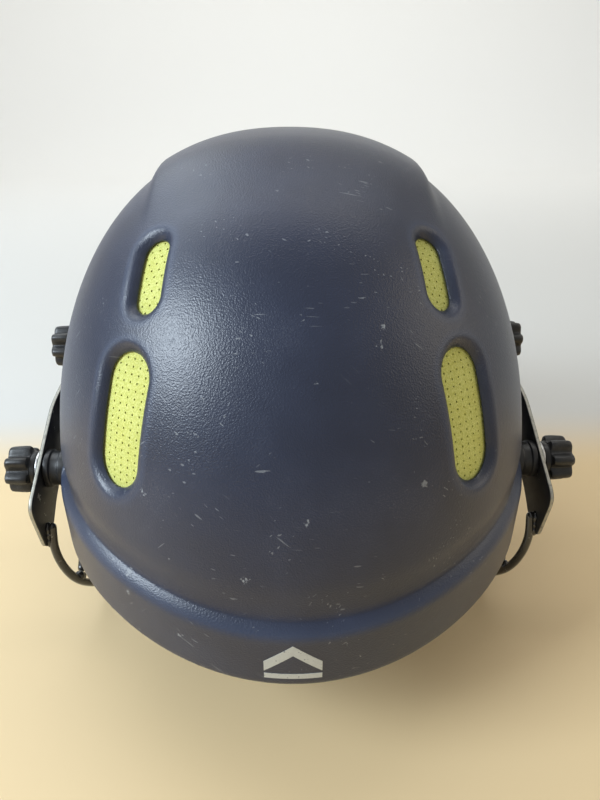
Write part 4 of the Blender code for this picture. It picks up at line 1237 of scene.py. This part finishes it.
def strap_uv(bm, route, lengths):
    """Length along the route and place across it, in metres, for the weave."""
    weave, where = bm.loops.layers.uv.new("weave"), {}
    for vert in bm.verts:
        flat = Vector((vert.co.x, STRAP_Y, vert.co.z))
        step = min(range(len(route)), key=lambda number: (route[number] - flat).length_squared)
        where[vert] = (lengths[step], vert.co.y)
    for face in bm.faces:
        for loop in face.loops:
            loop[weave].uv = where[loop.vert]


def stitches(bm, route, lengths, spans):
    """Short raised threads along both edges of the webbing, over spans of its length."""
    pitch, thread = 0.0026, 0.00022
    skin = STRAP_THICK / 2.0 + thread * 0.35
    for start, end in spans:
        along = start
        while along + pitch * 0.7 < end:
            ends = []
            for reach in (along, along + pitch * 0.62):
                step = max(number for number, length in enumerate(lengths) if length <= reach)
                step = min(step, len(route) - 2)
                share = (reach - lengths[step]) / (lengths[step + 1] - lengths[step])
                ahead = (route[step + 1] - route[step]).normalized()
                up = Vector((-ahead.z, 0.0, ahead.x))
                ends.append((route[step].lerp(route[step + 1], share), up))
            for face in (-1.0, 1.0):
                for across in (-0.0062, 0.0062):
                    points = [place + Vector((0.0, across, 0.0)) + up * face * skin for place, up in ends]
                    middle = (points[0] + points[1]) / 2.0 + ends[0][1] * face * thread * 0.4
                    add_tube(bm, [points[0], middle, points[1]], thread, 6, 2)
            along += pitch


def make_straps():
    for name, places in (("left", LEFT_ROUTE), ("right", RIGHT_ROUTE)):
        route, lengths, bm = make_strap(places)
        strap_uv(bm, route, lengths)
        thread = bmesh.new()
        total = lengths[-1]
        spans = [(0.004, 0.026), (total - 0.016, total - 0.001)] if name == "left" else \
                [(0.001, 0.016), (total - 0.026, total - 0.004)]
        stitches(thread, route, lengths, spans)
        body = "helmet" if name == "right" else None
        web = piece(f"strap_{name}_webbing", bm, WEBBING, body, f"strap_{name}")
        sewn = piece(f"strap_{name}_stitches", thread, THREAD, body)
        if name == "left":
            for soft in (web, sewn):
                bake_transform(soft)


def make_buckle():
    """Side-release buckle, slider and anchors of the chin strap."""
    place = Vector((SOCKET_X, STRAP_Y, STRAP_Z))
    length, width, tall = SOCKET
    mouth = length / 2.0
    windows = [((0.0200, 0.0210, 0.0046), place + Vector((mouth - 0.0090, 0.0, 0.0)))]
    windows += [((0.0105, 0.0070, 0.0046), place + Vector((0.0015, side * width / 2.0, 0.0)))
                for side in SIDES.values()]
    moulded("buckle_socket", SOCKET, place, 0.0016, windows, "buckle")
    ribs = bmesh.new()
    for step in range(4):
        middle = place + Vector((-0.0085 + 0.0022 * step, 0.0, tall / 2.0))
        add_block(ribs, (0.0009, 0.0130, 0.0007), middle, 0.0002)
    piece("buckle_socket_ribs", ribs, BLACK, "buckle")

    plug = Vector((SOCKET_X + mouth + GAP + PLUG_BASE[0] / 2.0, STRAP_Y, STRAP_Z))
    window = ((0.0040, 0.0195, 0.0100), plug + Vector((0.0035, 0.0, 0.0)))
    moulded("buckle_plug", PLUG_BASE, plug, 0.0014, [window], "helmet")
    prongs, root = bmesh.new(), SOCKET_X + mouth + 0.0020
    for side in SIDES.values():
        points = [Vector((root - back, STRAP_Y + side * out, STRAP_Z)) for back, out in
                  ((0.0, 0.0080), (0.0060, 0.0078), (0.0110, 0.0086), (0.0160, 0.0068))]
        add_tube(prongs, smooth_route(points, 6), 0.0015, 12)
    add_block(prongs, (0.0150, 0.0034, 0.0030), (root - 0.0075, STRAP_Y, STRAP_Z), 0.0008)
    piece("buckle_prongs", prongs, BLACK, "helmet")

    slider = Vector((SLIDER_X, STRAP_Y, STRAP_Z))
    moulded("strap_slider", SLIDER, slider, 0.0012, [((0.0300, 0.0200, 0.0026), slider)], "helmet")

    into_wall = shell_x(STRAP_Y, ANCHOR_Z) - SHELL_WALL / 2.0
    for side_name, side in SIDES.items():
        bm = bmesh.new()
        add_block(bm, ANCHOR, (side * ANCHOR_X, STRAP_Y, ANCHOR_Z), 0.0005)
        add_tube(bm, [Vector((side * x, STRAP_Y, ANCHOR_Z)) for x in (ANCHOR_X, into_wall)], 0.0024, 20)
        rivet = lathe(softened([(0.0, 0.0), (0.0, 0.0030), (0.0007, 0.0026), (0.0010, 0.0)]), 32)
        rivet.transform(out_of(-side, -(ANCHOR_X - ANCHOR[0] / 2.0), (STRAP_Y, ANCHOR_Z)))
        anchor = f"strap_anchor_{side_name}"
        piece(f"{anchor}_moulded", bm, BLACK, "helmet", anchor)
        piece(f"strap_rivet_{side_name}", rivet, STEEL, "helmet")


# ---------------------------------------------------------------- stage

def lamp(name, energy, colour, place, size, aim=(0.0, 0.0, 0.14)):
    """A rectangular lamp of a size at a place, facing a point."""
    data = bpy.data.lights.new(name, "AREA")
    data.energy, data.color = energy, colour
    data.shape, data.size, data.size_y = "RECTANGLE", *size
    made = bpy.data.objects.new(name, data)
    made.location = place
    made.rotation_euler = (Vector(aim) - Vector(place)).to_track_quat("-Z", "Y").to_euler()
    bpy.context.scene.collection.objects.link(made)


def make_stage():
    """Camera, floor running up into a wall, sky light and lamps."""
    scene = bpy.context.scene
    scene.view_settings.view_transform = "Standard"
    camera = bpy.data.cameras.new("camera")
    camera.lens, camera.sensor_width = 27.26, 36.0
    camera.clip_start, camera.clip_end = 0.01, 100.0
    eye = bpy.data.objects.new("camera", camera)
    swing = Matrix.Rotation(EYE_SWING, 4, "Z")
    eye.matrix_world = swing @ (Matrix.Translation((0.001, -0.2833 - CENTRE_Y, 0.2578))
                                @ Matrix.Rotation(-0.014, 4, "Z") @ Matrix.Rotation(pi / 2.0 - 0.485, 4, "X"))
    scene.collection.objects.link(eye)
    scene.camera = eye

    made, tree, shader = shader_of("floor_paint", (0.72, 0.60, 0.42), 0.55)
    along = node(tree, "SeparateXYZ", {0: node(tree, "TexCoord").outputs["Object"]}).outputs[1]
    # Tan table under the helmet; past it the floor is painted grey near and whiter far off, a painted
    # brightening that evens out the lamps' light falling off with distance
    table = blend(steps(along, 0.06, 0.16), (0.740, 0.570, 0.330), (0.590, 0.590, 0.572))
    paint(shader, Base_Color=blend(steps(along, 0.25, 1.75), table, (0.930, 0.930, 0.910)))
    bm = bmesh.new()
    curve = [(1.6 + 0.8 * sin(turn), 0.8 - 0.8 * cos(turn)) for turn in turns(64)[1:17]]
    depth = [(-9.0, 0.0), (1.6, 0.0), *curve, (2.4, 4.0)]
    columns = [[bm.verts.new((x, y, z - 0.0001)) for y, z in depth] for x in (-9.0, 9.0)]
    for step in range(len(depth) - 1):
        bm.faces.new((columns[0][step], columns[1][step], columns[1][step + 1], columns[0][step + 1]))
    bmesh.ops.recalc_face_normals(bm, faces=bm.faces)
    mesh = bpy.data.meshes.new("floor")
    bm.to_mesh(mesh)
    bm.free()
    mesh.materials.append(made)
    mesh.shade_smooth()
    floor = bpy.data.objects.new("floor", mesh)
    scene.collection.objects.link(floor)

    world = bpy.data.worlds.new("soft_light")
    scene.world = world
    world.use_nodes = True
    tree = world.node_tree
    across = node(tree, "SeparateXYZ", {0: node(tree, "TexCoord").outputs["Generated"]}).outputs[0]
    share = node(tree, "MapRange", {"Value": across, "From Min": -0.8, "From Max": 0.8}).outputs[0]
    tree.links.new(blend(share, (0.86, 0.93, 1.00), (0.86, 0.79, 0.68)), tree.nodes["Background"].inputs[0])
    tree.nodes["Background"].inputs[1].default_value = 0.47
    lamp("window", 18.0, (0.80, 0.91, 1.00), (-1.02, -0.46, 0.80), (0.60, 0.50))
    lamp("back_window", 4.5, (0.84, 0.93, 1.00), (-0.75, 0.60, 1.10), (0.9, 0.7))
    lamp("room", 2.6, (1.00, 0.92, 0.80), (1.15, -0.15, 0.75), (0.8, 0.8))
    lamp("wall_wash", 32.0, (1.0, 0.99, 0.96), (0.0, 0.75, 2.6), (3.0, 0.6), (0.0, 2.5, 0.9))


make_stage()
make_shell()
make_mark()
for side_name in SIDES:
    for size in VENTS:
        make_vent_mesh(side_name, size)
make_liner()
make_pads()
make_chin_cup()
for side_name in SIDES:
    for end in BOLTS:
        make_fixing(side_name, end)
make_guard()
make_straps()
make_buckle()
